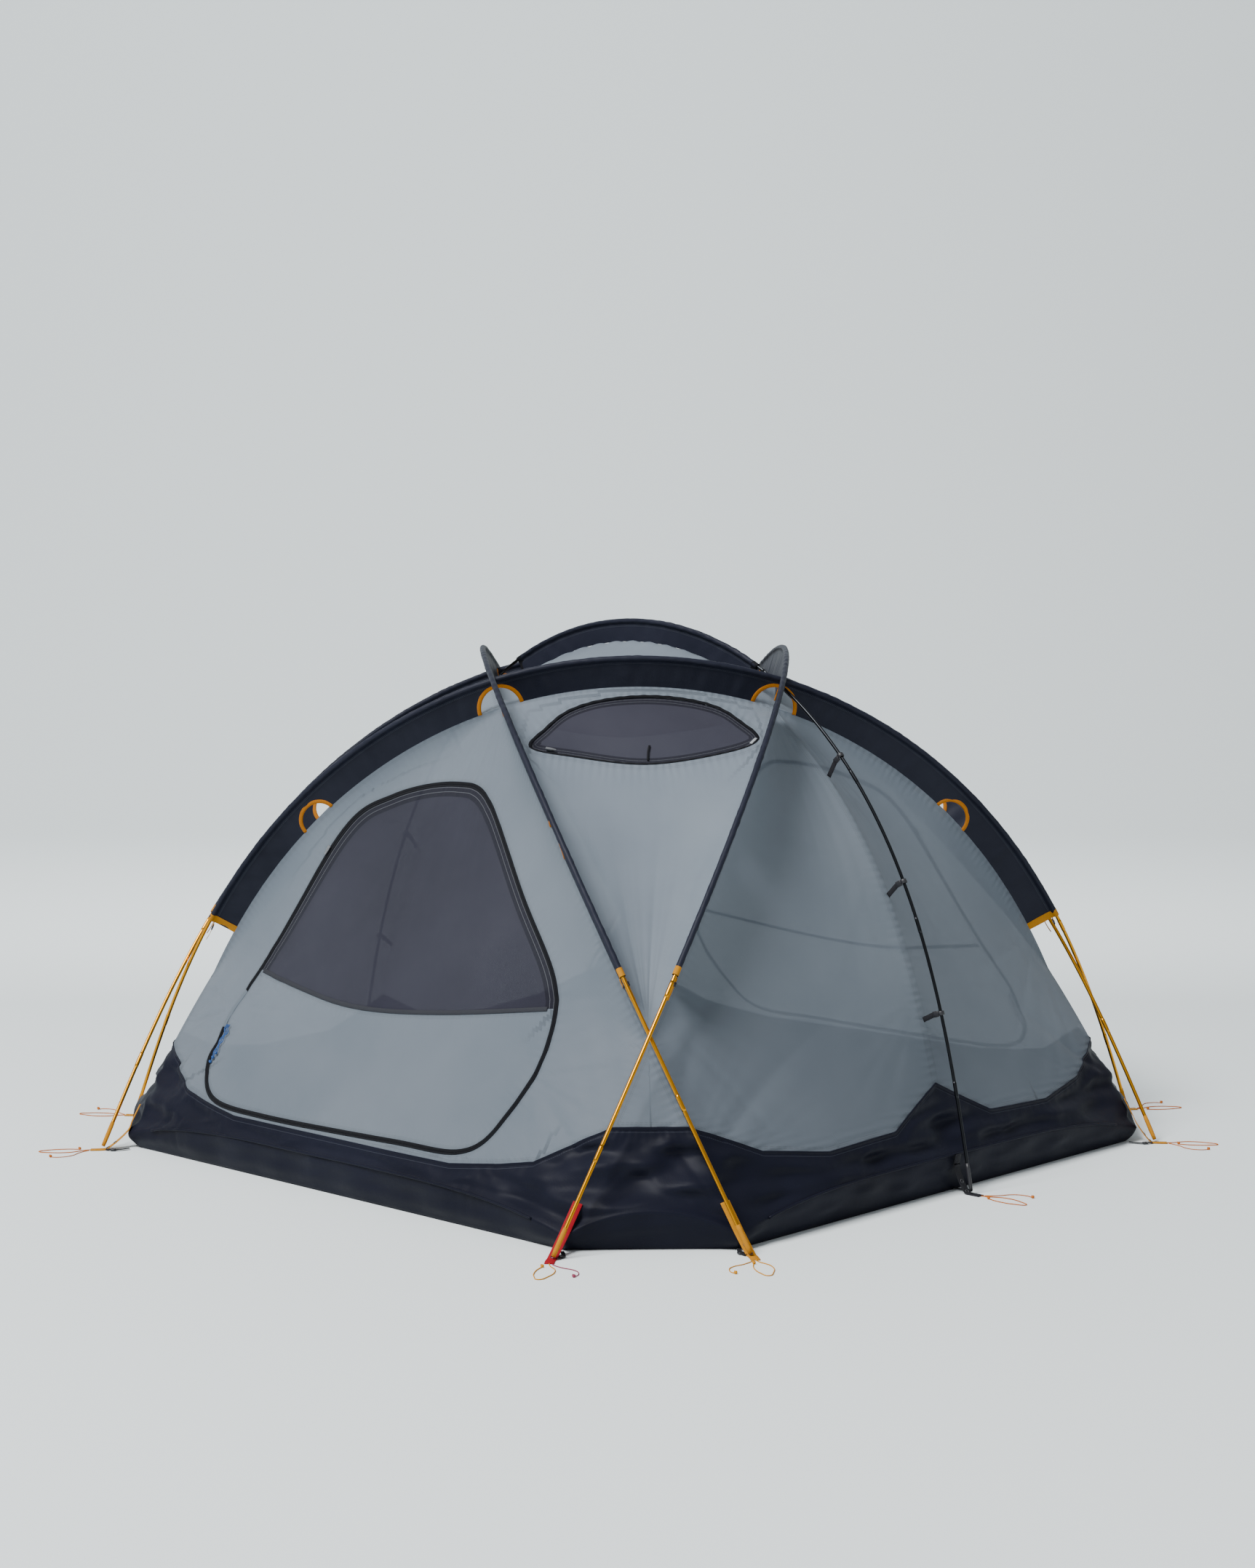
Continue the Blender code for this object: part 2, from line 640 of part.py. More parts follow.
def make_side_wall(name, quarter):
    surface = wall_surface(True)[:, COLUMNS]
    top = row_at_height(surface, tub_top(ACROSS, True) + GAP)
    blank = stood_back(part_of_columns(surface, 0 * top, top, 9))
    sheet(f"wall_{name}", turned(blank, quarter), "canopy")


def make_corners():
    upper = stood_back(upper_corner_surface()[::2, ::2])
    lower = lower_corner_surface()[:, ::2]
    top = row_at_height(lower, np.full(5, CORNER_TOP + GAP))
    lower = stood_back(part_of_columns(lower, 0 * top, top, 5))
    for quarter, name in enumerate(("back_right", "back_left", "front_left", "front_right")):
        panel = sheet(f"corner_{name}", turned(upper, quarter), "canopy")
        sheet(f"gusset_{name}", turned(lower, quarter), "canopy")
        if name not in ("front_right", "back_left"):
            continue
        sign = 1 if name == "front_right" else -1
        out = np.array([1, -1]) * sign / np.sqrt(2)
        across = np.array([1, 1]) * sign / np.sqrt(2)
        outline = smooth_through(VENT, 3, closed=True)
        base = (0, 0, VENT_HEIGHT)
        cut = prism(f"vent_cut_{name}", outline, across, out, 0.2, 1.2, base)
        boolean(panel, cut, "DIFFERENCE")
        screen = sheet(f"vent_{name}", turned(upper, quarter), "mesh")
        inner = moved_in(outline, ZIP_GAP)
        kept = prism(f"vent_shape_{name}", inner, across, out, 0.2, 1.2, base)
        boolean(screen, kept, "INTERSECT")
        start, end = [(x, z + VENT_HEIGHT) for x, z in VENT_ZIP]
        make_slider(f"vent_{name}", turned(upper, quarter), start, end, across, out, 0)


def make_tub():
    """The bathtub floor: rings round it from the top edge to the ground, and the floor face."""
    count = 4
    sectors = []
    for ridged in (True, False):
        surface = wall_surface(ridged)[:, COLUMNS]
        top = row_at_height(surface, tub_top(ACROSS, ridged) - GAP)
        sectors.append(part_of_columns(surface, top, 0 * top + 32, count)[:, :-1])
    surface = lower_corner_surface()[:, ::2]
    top = row_at_height(surface, np.full(5, CORNER_TOP - GAP))
    corner = part_of_columns(surface, top, 0 * top + 16, count)[:, :-1]
    rings = [[] for _ in range(count + 1)]
    for quarter in range(4):
        for sector in (sectors[quarter % 2], corner):
            placed = turned(sector, quarter)
            for ring, points in zip(rings, placed):
                ring.extend(points)
            rings[count].extend(floor_edge(placed[-1]))
    bm = bmesh.new()
    loops = [[bm.verts.new(p) for p in ring] for ring in rings]
    for upper, lower in zip(loops, loops[1:]):
        for i in range(len(upper)):
            j = (i + 1) % len(upper)
            bm.faces.new((upper[i], upper[j], lower[j], lower[i]))
    bm.faces.new(loops[-1])
    bmesh.ops.triangulate(bm, faces=bm.faces, quad_method="FIXED")
    tub = add_object("tub_floor", mesh_of(bm, "tub_floor"), "navy")
    solidify(tub, CLOTH)


def floor_edge(points):
    """The points of the crease brought in and down to the floor's eight-sided edge."""
    out = []
    for x, y, _ in points:
        reach = max(abs(x), abs(y), (abs(x) + abs(y)) * FLOOR_HALF / (FLOOR_HALF + FLOOR_CORNER))
        out.append((x * FLOOR_HALF / reach, y * FLOOR_HALF / reach, 0))
    return out


# ---------------------------------------------------------------- hardware
def ribbon(name, points, side, width, thickness, finish):
    """A strap: a flat band along the points, with its thickness below them."""
    bm = bmesh.new()
    edge = Vector(side) * width / 2
    last = None
    for place in points:
        pair = [bm.verts.new(Vector(place) - edge), bm.verts.new(Vector(place) + edge)]
        if last:
            bm.faces.new((last[0], last[1], pair[1], pair[0]))
        last = pair
    bm.normal_update()
    if sum(face.normal.z for face in bm.faces) < 0:
        bmesh.ops.reverse_faces(bm, faces=bm.faces)
    mesh = bpy.data.meshes.new(name)
    bm.to_mesh(mesh)
    bm.free()
    obj = add_object(name, mesh, finish)
    solidify(obj, thickness)
    return obj


def make_foot(name, foot, climb, side, finish):
    """A foot's webbing tab, under the pole's tip and up the tub's seam, and its stake loop."""
    out = unit(np.array([foot[0], foot[1], 0]))
    raise_by = np.array([0, 0, TAB_THICK])
    points = [foot * (1, 1, 0) + out * 0.03 + raise_by, foot * (1, 1, 0) - out * 0.012 + raise_by]
    points += [p + unit(p) * 0.006 for p in climb]
    ribbon(f"tab_{name}", points, side, TAB_WIDTH, TAB_THICK, finish)
    exit_point = foot * (1, 1, 0) + out * (0.03 + 0.0003 + CORD_RADIUS * 0.2)
    turn = np.array([-out[1], out[0], 0])
    route = [
        exit_point + out * a + turn * b + np.array([0, 0, CORD_RADIUS + 0.0004])
        for a, b in CORD_ROUTE
    ]
    tube(f"cord_{name}", smooth_through(route, 2), CORD_RADIUS, "cord")


def make_feet():
    corners = {(1, -1): "front_right", (1, 1): "back_right", (-1, 1): "back_left",
               (-1, -1): "front_left"}
    at = np.linspace(-1, CORNER_AT, 600)
    heights = np.array([SEAM_LOW + 0.004, 0.075, TAB_TOP])
    places = np.interp(heights, seam_points(at)[:, 2], at)
    for key, spec in ARCHES.items():
        lean = np.array([*spec["lean"], 1])
        for end in (-1, 1):
            tip = arch_points(key, np.array([end * 1.0]))[0]
            climb = seam_points(places)
            if end > 0:
                climb = climb[:, [1, 0, 2]]
            climb = climb * lean
            corner = corners[(int(np.sign(tip[0])), int(np.sign(tip[1])))]
            facing = "y" if abs(tip[1]) > abs(tip[0]) else "x"
            out = unit(tip * (1, 1, 0))
            name = f"{corner}_{facing}"
            finish = "red" if name == "front_right_y" else "webbing"
            make_foot(name, tip, climb, (-out[1], out[0], 0), finish)
    climb = np.array([(CREASE_HALF, 0, 0.06), (CREASE_HALF + 0.004, 0, 0.1)])
    for sign, name in ((1, "right"), (-1, "left")):
        mirror = (sign, 1, 1)
        make_foot(name, RIDGE[1][0] * mirror, climb * mirror, (0, 1, 0), "strap")


def make_poles():
    for key in ARCHES:
        at = stations(lambda s, k=key: arch_points(k, s), SLEEVE_AT)
        tube(f"pole_{key}", arch_points(key, at), GOLD_RADIUS, "gold")
    ends = [p + d for p in RIDGE_CLIPS for d in (-CLIP_HALF, CLIP_HALF)]
    clips = [side * end for side in (-1, 1) for end in ends]
    at = stations(lambda s: along(RIDGE, s), [*CROWN_AT, *clips])
    tube("pole_ridge", along(RIDGE, at), RIDGE_RADIUS, "black")


make_poles()
for arch in ARCHES:
    make_sleeve(arch)
make_crown_sleeve()
make_clips()
sheet("crown", stood_back(crown_surface()[::2, ::2]), "canopy")
make_corners()
make_side_wall("right", 0)
make_side_wall("left", 2)
make_door_wall("back", 1, -1)
make_door_wall("front", 3, 1)
make_tub()
make_feet()
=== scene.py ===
# Geodesic dome tent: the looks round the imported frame.
from math import cos, pi, radians, sin

import bmesh
import bpy
import numpy as np
from mathutils import Matrix, Vector
from mathutils.bvhtree import BVHTree


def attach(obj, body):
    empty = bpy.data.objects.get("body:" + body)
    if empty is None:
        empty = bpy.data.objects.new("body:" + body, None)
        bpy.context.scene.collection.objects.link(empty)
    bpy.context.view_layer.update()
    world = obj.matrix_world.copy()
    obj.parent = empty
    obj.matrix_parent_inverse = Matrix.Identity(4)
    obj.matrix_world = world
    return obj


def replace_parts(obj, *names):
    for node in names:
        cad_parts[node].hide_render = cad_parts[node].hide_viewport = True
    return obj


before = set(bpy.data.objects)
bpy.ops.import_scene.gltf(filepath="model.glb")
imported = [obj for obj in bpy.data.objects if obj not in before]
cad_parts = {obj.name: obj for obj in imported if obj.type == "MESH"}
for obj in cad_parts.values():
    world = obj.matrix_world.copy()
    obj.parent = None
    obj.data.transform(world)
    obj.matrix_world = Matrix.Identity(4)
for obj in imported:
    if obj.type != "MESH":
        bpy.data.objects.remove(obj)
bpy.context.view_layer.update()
print("frame loaded:", len(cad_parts), "nodes")

# ---- camera
view = {"place": (5.2302, -5.5696, 1.5962), "target": (-0.0116, -0.011, 1.007), "lens": 61.07}


def makeCamera():
    data = bpy.data.cameras.new("camera")
    data.lens = view["lens"]
    data.clip_end = 200
    camera = bpy.data.objects.new("camera", data)
    bpy.context.scene.collection.objects.link(camera)
    camera.location = view["place"]
    towards = Vector(view["target"]) - Vector(view["place"])
    camera.rotation_euler = towards.to_track_quat("-Z", "Y").to_euler()
    bpy.context.scene.camera = camera


makeCamera()


# ---- node and material helpers
class Mat:
    # A material with short ways to add and join nodes.
    def __init__(self, name):
        self.mat = bpy.data.materials.new(name)
        self.mat.use_nodes = True
        self.tree = self.mat.node_tree
        self.shader = self.tree.nodes["Principled BSDF"]
        self.out = self.tree.nodes["Material Output"]

    def add(self, kind, inputs=(), **settings):
        node = self.tree.nodes.new("ShaderNode" + kind)
        for key, value in settings.items():
            setattr(node, key, value)
        for key, value in dict(inputs).items():
            if isinstance(value, bpy.types.NodeSocket):
                self.tree.links.new(value, node.inputs[key])
            else:
                node.inputs[key].default_value = value
        return node

    def join(self, a, b):
        self.tree.links.new(a, b)

    def sett(self, **values):
        for key, value in values.items():
            self.shader.inputs[key.replace("_", " ")].default_value = value

    def coords(self, kind="Object"):
        return self.add("TexCoord").outputs[kind]

    def noise(self, vector, scale, detail=3.0, rough=0.55):
        return self.add("TexNoise", {"Vector": vector, "Scale": scale, "Detail": detail,
                                     "Roughness": rough}).outputs["Fac"]

    def ramp(self, fac, low, high, start=0.3, end=0.7):
        node = self.add("ValToRGB", {"Fac": fac})
        node.color_ramp.elements[0].position = start
        node.color_ramp.elements[1].position = end
        node.color_ramp.elements[0].color = (*low, 1)
        node.color_ramp.elements[1].color = (*high, 1)
        return node.outputs["Color"]

    def spread(self, fac, low, high, start=0.0, end=1.0):
        return self.add("MapRange", {"Value": fac, "From Min": start, "From Max": end,
                                     "To Min": low, "To Max": high}).outputs["Result"]

    def math(self, kind, a, b=0.0, c=0.0):
        return self.add("Math", {0: a, 1: b, 2: c}, operation=kind).outputs[0]

    def bump(self, height, strength, distance, normal=None):
        inputs = {"Height": height, "Strength": strength, "Distance": distance}
        if normal is not None:
            inputs["Normal"] = normal
        return self.add("Bump", inputs).outputs["Normal"]


def weave(mat, uv, pitch):
    # Plain weave: over and under threads from two crossing waves.
    across = mat.add("SeparateXYZ", {"Vector": uv})
    u = mat.math("SINE", mat.math("MULTIPLY", across.outputs["X"], 2 * pi / pitch))
    v = mat.math("SINE", mat.math("MULTIPLY", across.outputs["Y"], 2 * pi / pitch))
    return mat.math("MULTIPLY", u, v)


threads = {"cloud": 3.0, "wear": 9.0, "wearSpread": 0.06, "crinkle": 26.0, "hemDash": 0.0045,
           "stitchHalf": 0.0006}


def clothMaterial(name, low, high, rough, sheen, pitch, weaveDepth, noiseDepth, shine=0.12):
    mat = Mat(name)
    uv = mat.coords("UV")
    place = mat.coords()
    worn = threads["wearSpread"]
    mat.join(mat.ramp(mat.noise(place, threads["cloud"]), low, high), mat.shader.inputs["Base Color"])
    mat.join(mat.spread(mat.noise(place, threads["wear"]), rough - worn, rough + worn),
             mat.shader.inputs["Roughness"])
    mat.sett(Sheen_Weight=sheen, Sheen_Roughness=0.4, Specular_IOR_Level=shine)
    normal = mat.bump(mat.noise(place, threads["crinkle"], 4.0), 0.5, noiseDepth)
    normal = mat.bump(weave(mat, uv, pitch), 0.6, weaveDepth, normal)
    mat.join(normal, mat.shader.inputs["Normal"])
    return mat, normal


def hemLines(mat, lines, dash=threads["hemDash"], half=threads["stitchHalf"]):
    # The place along the nearest hem, the distance from it, and rows of stitches at set distances.
    parts = mat.add("SeparateXYZ", {"Vector": mat.add("UVMap", uv_map="edge").outputs["UV"]})
    run, off = parts.outputs["X"], parts.outputs["Y"]
    row = 0.0
    for at in lines:
        row = mat.math("MAXIMUM", row, mat.math("COMPARE", off, at, half))
    wave = mat.math("SINE", mat.math("MULTIPLY", run, 2 * pi / dash))
    return run, off, mat.math("MULTIPLY", row, mat.math("GREATER_THAN", wave, -0.5))


def puckers(mat, run, off, pitch, reach):
    # Small gathers across a sewn edge, fading into the cloth.
    drift = mat.math("MULTIPLY", mat.noise(mat.coords(), 7.0), 9.0)
    wave = mat.math("SINE", mat.math("ADD", mat.math("MULTIPLY", run, 2 * pi / pitch), drift))
    fade = mat.math("EXPONENT", mat.math("MULTIPLY", off, -1 / reach))
    return mat.math("MULTIPLY", wave, fade)


def blendColour(mat, fac, a, b):
    return mat.add("Mix", {0: fac, 6: a, 7: b}, data_type="RGBA").outputs[2]


def seeThrough(mat, normal, glow, share, clear):
    # Light comes through thin cloth, and a little of what is behind it shows.
    lit = mat.add("BsdfTranslucent", {"Color": (*glow, 1), "Normal": normal})
    both = mat.add("MixShader", {0: share, 1: mat.shader.outputs[0], 2: lit.outputs[0]})
    gap = mat.add("BsdfTransparent", {"Color": (1, 1, 1, 1)})
    both = mat.add("MixShader", {0: clear, 1: both.outputs[0], 2: gap.outputs[0]})
    mat.join(both.outputs[0], mat.out.inputs["Surface"])


clothLook = {"canopyLow": (0.204, 0.241, 0.286), "canopyHigh": (0.239, 0.277, 0.322),
             "canopyGlow": (0.232, 0.27, 0.315), "canopyLit": 0.38, "canopyHem": 0.0115, "canopyClear": 0.26,
             "firmClear": 0.06, "meshGlow": (0.05, 0.05, 0.065), "meshLit": 0.12, "meshHem": 0.033,
             "meshClear": 0.045}


def shadeHem(mat, hem, hemShare, hemColour, stitches, stitchShare, stitchColour):
    # The folded edge is painted darker than the open cloth, and its stitches are another colour again; on
    # the canopy this darker hem is painted shade.
    base = mat.shader.inputs["Base Color"].links[0].from_socket
    shaded = blendColour(mat, mat.math("MULTIPLY", hem, hemShare), base, hemColour)
    shaded = blendColour(mat, mat.math("MULTIPLY", stitches, stitchShare), shaded, stitchColour)
    mat.join(shaded, mat.shader.inputs["Base Color"])


def canopyCloth(name, clear, share=1.0):
    # share scales the cloth's colour: below 1 it is painted shade, above 1 painted light.
    low, high, glow = (tuple(c * share for c in clothLook[key])
                       for key in ("canopyLow", "canopyHigh", "canopyGlow"))
    mat, normal = clothMaterial(name, low, high, 0.5, 0.05, 0.0045, 0.00006, 0.0006)
    run, off, stitches = hemLines(mat, (0.0095, 0.0135))
    hem = mat.math("LESS_THAN", off, clothLook["canopyHem"])
    # Painted shade: the canopy's hem is the same cloth, drawn darker where it lies doubled.
    shadeHem(mat, hem, 0.15, (0.12, 0.14, 0.16, 1), stitches, 0.5, (0.10, 0.11, 0.12, 1))
    normal = mat.bump(puckers(mat, run, off, 0.021, 0.022), 0.55, 0.0016, normal)
    mat.join(normal, mat.shader.inputs["Normal"])
    seeThrough(mat, normal, glow, clothLook["canopyLit"], mat.spread(hem, clear, clear * 0.9))
    return mat.mat


def meshCloth(name, low, high):
    mat, normal = clothMaterial(name, low, high, 0.8, 0.01, 0.003, 0.0002, 0.0003)
    run, off, stitches = hemLines(mat, (0.0085, 0.0205))
    hem = mat.math("LESS_THAN", off, clothLook["meshHem"])
    shadeHem(mat, hem, 0.75, (0.010, 0.010, 0.016, 1), stitches, 0.7, (0.20, 0.21, 0.23, 1))
    normal = mat.bump(puckers(mat, run, off, 0.014, 0.014), 0.5, 0.0012, normal)
    mat.join(normal, mat.shader.inputs["Normal"])
    clear = mat.spread(hem, clothLook["meshClear"], 0.03)
    seeThrough(mat, normal, clothLook["meshGlow"], clothLook["meshLit"], clear)
    return mat.mat


def navyCloth(name, low, high, rough, shine, rows):
    mat, normal = clothMaterial(name, low, high, rough, 0.0, 0.004, 0.00008, 0.0008, shine)
    run, off, stitches = hemLines(mat, rows, 0.005, 0.0005)
    place = mat.coords()
    # Crumpled coated cloth: sharp little folds in every direction, in patches.
    squeezed = mat.add("Mapping", {"Vector": place, "Scale": (1, 1, 2.2)}).outputs[0]
    crumple = mat.add("TexVoronoi", {"Vector": squeezed, "Scale": 6.0}, feature="F2").outputs["Distance"]
    rumple = mat.noise(place, 11.0, 5.0, 0.6)
    normal = mat.bump(mat.math("ADD", crumple, rumple), 0.22, 0.006, normal)
    normal = mat.bump(puckers(mat, run, off, 0.037, 0.02), 0.25, 0.0015, normal)
    base = mat.shader.inputs["Base Color"].links[0].from_socket
    mat.join(blendColour(mat, mat.math("MULTIPLY", stitches, 0.5), base, (0.09, 0.10, 0.12, 1)),
             mat.shader.inputs["Base Color"])
    mat.join(normal, mat.shader.inputs["Normal"])
    return mat.mat


def tubeMaterial(name, colour, rough):
    # Anodised tube: faint draw lines and wear in its roughness.
    mat = Mat(name)
    uv, place = mat.coords("UV"), mat.coords()
    lines = mat.add("Mapping", {"Vector": uv, "Scale": (900.0, 3.0, 1.0)}).outputs[0]
    dark = tuple(c * 0.8 for c in colour)
    mat.join(mat.ramp(mat.noise(place, 5.0), dark, colour, 0.35, 0.65), mat.shader.inputs["Base Color"])
    mat.join(mat.spread(mat.noise(lines, 1.0), rough - 0.07, rough + 0.1), mat.shader.inputs["Roughness"])
    mat.sett(Metallic=1.0)
    return mat.mat


def webbingMaterial(name, low, high, rough=0.7, ribPitch=0.003):
    # Woven webbing: diagonal ribs along its length.
    mat = Mat(name)
    parts = mat.add("SeparateXYZ", {"Vector": mat.coords("UV")})
    slant = mat.math("ADD", parts.outputs["X"], mat.math("ABSOLUTE", parts.outputs["Y"]))
    rib = mat.math("SINE", mat.math("MULTIPLY", slant, 2 * pi / ribPitch))
    mat.join(mat.ramp(mat.spread(rib, 0.0, 1.0, -1.0, 1.0), low, high, 0.1, 0.8),
             mat.shader.inputs["Base Color"])
    mat.sett(Roughness=rough, Specular_IOR_Level=0.2)
    mat.join(mat.bump(rib, 0.7, 0.0003), mat.shader.inputs["Normal"])
    return mat.mat


def cordMaterial(name, low, high):
    # Braided cord: two sets of turns round it.
    mat = Mat(name)
    braid = mat.add("TexVoronoi", {"Vector": mat.coords(), "Scale": 900.0}).outputs["Distance"]
    mat.join(mat.ramp(braid, high, low, 0.1, 0.7), mat.shader.inputs["Base Color"])
    mat.sett(Roughness=0.65, Specular_IOR_Level=0.2)
    mat.join(mat.bump(braid, 0.6, 0.0003), mat.shader.inputs["Normal"])
    return mat.mat


def plasticMaterial(name, colour, rough, metallic=0.0):
    mat = Mat(name)
    place = mat.coords()
    mat.join(mat.ramp(mat.noise(place, 60.0), tuple(c * 0.8 for c in colour), colour),
             mat.shader.inputs["Base Color"])
    mat.join(mat.spread(mat.noise(place, 300.0), rough - 0.05, rough + 0.1), mat.shader.inputs["Roughness"])
    mat.sett(Metallic=metallic)
    mat.join(mat.bump(mat.noise(place, 700.0), 0.15, 0.0002), mat.shader.inputs["Normal"])
    return mat.mat


def zipMaterial(name, colour, turnPitch=0.0016):
    # Zip tape: a row of coil turns across it, repeated along its length.
    mat = Mat(name)
    parts = mat.add("SeparateXYZ", {"Vector": mat.coords("UV")})
    turns = mat.math("SINE", mat.math("MULTIPLY", parts.outputs["Y"], 2 * pi / turnPitch))
    mat.join(mat.ramp(mat.spread(turns, 0.0, 1.0, -1.0, 1.0), tuple(c * 0.6 for c in colour), colour),
             mat.shader.inputs["Base Color"])
    mat.sett(Roughness=0.6, Specular_IOR_Level=0.15)
    mat.join(mat.bump(turns, 0.5, 0.0003), mat.shader.inputs["Normal"])
    return mat.mat


def tape(slot, *look):
    return webbingMaterial(*look), slot


def cordFinish(slot, *look):
    return cordMaterial(*look), slot


finish = {
    "canopy": (canopyCloth("canopyCloth", clothLook["canopyClear"]), "canopy_fabric"),
    # Painted shade: the firm canopy's colour is made 10% darker, for the door walls, door panels, back cover
    # and gussets.
    "firmPaintedShadeCanopy": (canopyCloth("firmPaintedShadeCanopyCloth", clothLook["firmClear"], 0.9), "canopy_fabric"),
    # Painted light: this copy of the canopy cloth is made 14% lighter, for the corner panels and the crown.
    "paintedLightCanopy": (canopyCloth("paintedLightCanopyCloth", clothLook["firmClear"], 1.14), "canopy_fabric"),
    "mesh": (meshCloth("meshCloth", (0.021, 0.021, 0.032), (0.030, 0.030, 0.044)), "mesh_fabric"),
    # Painted light: the vent mesh is the door mesh's cloth made lighter, for the vents high on the corners.
    "paintedLightVentMesh": (meshCloth("paintedLightVentCloth", (0.036, 0.036, 0.051), (0.048, 0.048, 0.065)), "mesh_fabric"),
    "sleeve": (navyCloth("sleeveCloth", (0.011, 0.0125, 0.022), (0.017, 0.019, 0.031), 0.5, 0.12,
                         (0.0125, 0.0155)), "sleeve_fabric"),
    "tub": (navyCloth("tubCloth", (0.005, 0.0056, 0.0115), (0.008, 0.009, 0.0175), 0.48, 0.085, (0.009,)),
            "floor_fabric"),
    "gold": (tubeMaterial("goldTube", (0.66, 0.285, 0.012), 0.3), "gold_pole"),
    "black": (tubeMaterial("blackTube", (0.03, 0.032, 0.036), 0.3), "black_pole"),
    "goldWebbing": tape("gold_webbing", "goldWebbing", (0.34, 0.13, 0.003), (0.56, 0.24, 0.006)),
    "redWebbing": tape("red_webbing", "redWebbing", (0.22, 0.001, 0.006), (0.37, 0.003, 0.013)),
    "blackWebbing": tape("black_webbing", "blackWebbing", (0.006, 0.006, 0.008), (0.02, 0.02, 0.025)),
    "binding": tape("gold_webbing", "orangeBinding", (0.34, 0.105, 0.003), (0.54, 0.19, 0.006)),
    "orangeCord": cordFinish("stake_cord", "orangeCord", (0.40, 0.10, 0.012), (0.66, 0.22, 0.03)),
    "yellowCord": cordFinish("stake_cord", "yellowCord", (0.50, 0.20, 0.004), (0.78, 0.36, 0.01)),
    "plumCord": cordFinish("stake_cord", "plumCord", (0.20, 0.03, 0.06), (0.42, 0.08, 0.14)),
    "blueCord": cordFinish("zip_metal", "blueCord", (0.02, 0.06, 0.20), (0.045, 0.14, 0.38)),
    "clip": (plasticMaterial("clipPlastic", (0.018, 0.018, 0.022), 0.42), "clip_plastic"),
    "metal": (plasticMaterial("zipMetal", (0.55, 0.56, 0.58), 0.3, 1.0), "zip_metal"),
    "zip": (zipMaterial("zipTape", (0.0045, 0.005, 0.008)), "sleeve_fabric"),
    "divider": tape("mesh_fabric", "dividerTape", (0.012, 0.013, 0.018), (0.035, 0.037, 0.045)),
    "grommet": (plasticMaterial("grommetMetal", (0.12, 0.12, 0.13), 0.3, 1.0), "zip_metal"),
    "thread": tape("canopy_fabric", "lightThread", (0.24, 0.26, 0.28), (0.42, 0.44, 0.46)),
}
print("materials made:", len(finish))


# ---- mesh helpers
def unit(v):
    return v / np.linalg.norm(v)


def units(v):
    return v / np.maximum(np.linalg.norm(v, axis=-1, keepdims=True), 1e-12)


def eased(x):
    x = np.clip(x, 0, 1)
    return x * x * (3 - 2 * x)


def addPiece(name, data, look, body="tent"):
    obj = bpy.data.objects.new(name, data)
    bpy.context.scene.collection.objects.link(obj)
    material, slotName = finish[look]
    data.materials.append(material)
    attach(obj, body)
    return obj


def steps(points):
    # Distance run along a row of points.
    return np.concatenate([[0], np.cumsum(np.linalg.norm(np.diff(points, axis=0), axis=-1))])


def bareGrid(name, grid):
    # Faces over a grid of places, with each corner's place in the grid and the sheet's own flat sizes.
    rows, columns = grid.shape[:2]
    bm = bmesh.new()
    bmesh.ops.create_grid(bm, x_segments=columns - 1, y_segments=rows - 1, size=1)
    mesh = bpy.data.meshes.new(name)
    bm.to_mesh(mesh)
    bm.free()
    mesh.vertices.foreach_set("co", grid.astype(np.float32).ravel())
    down, over = np.zeros((rows, columns)), np.zeros((rows, columns))
    down[1:] = np.cumsum(np.linalg.norm(np.diff(grid, axis=0), axis=-1), axis=0)
    over[:, 1:] = np.cumsum(np.linalg.norm(np.diff(grid, axis=1), axis=-1), axis=1)
    over -= over[:, columns // 2, None]
    corner = np.empty(len(mesh.loops), np.int32)
    mesh.loops.foreach_get("vertex_index", corner)
    return mesh, corner, np.stack([over, down], axis=-1)


def addMap(mesh, name, corner, values):
    flat = values.reshape(-1, 2)[corner].astype(np.float32)
    mesh.uv_layers.new(name=name).data.foreach_set("uv", flat.ravel())


def edited(mesh, *changes):
    # The mesh after each change to its faces, shaded smooth.
    bm = bmesh.new()
    bm.from_mesh(mesh)
    for change in changes:
        change(bm)
    bm.to_mesh(mesh)
    bm.free()
    mesh.shade_smooth()
    return mesh


def weld(bm):
    bmesh.ops.remove_doubles(bm, verts=bm.verts, dist=1e-6)


def faceOut(bm):
    # Faces turned away from the tent's middle.
    bm.normal_update()
    if sum(face.normal.dot(face.calc_center_median()) * face.calc_area() for face in bm.faces) < 0:
        bmesh.ops.reverse_faces(bm, faces=bm.faces)


def faceRound(bm):
    # Outward faces on a closed body.
    bmesh.ops.recalc_face_normals(bm, faces=bm.faces)


def gridMesh(name, grid, *finishing):
    mesh, corner, flat = bareGrid(name, grid)
    addMap(mesh, "flat", corner, flat)
    return edited(mesh, weld, *finishing)


def frames(points, up=None):
    # Ahead, side and up directions along a line; up is a wished direction at each point.
    ahead = units(np.gradient(points, axis=0))
    if up is None:
        side = np.zeros_like(ahead)
        last = unit(np.cross(ahead[0], (0.3, 0.5, 1.0)))
        for i, a in enumerate(ahead):
            last = unit(last - np.dot(last, a) * a)
            side[i] = last
        return ahead, side, np.cross(side, ahead)
    up = units(up - np.sum(up * ahead, axis=1, keepdims=True) * ahead)
    return ahead, np.cross(ahead, up), up


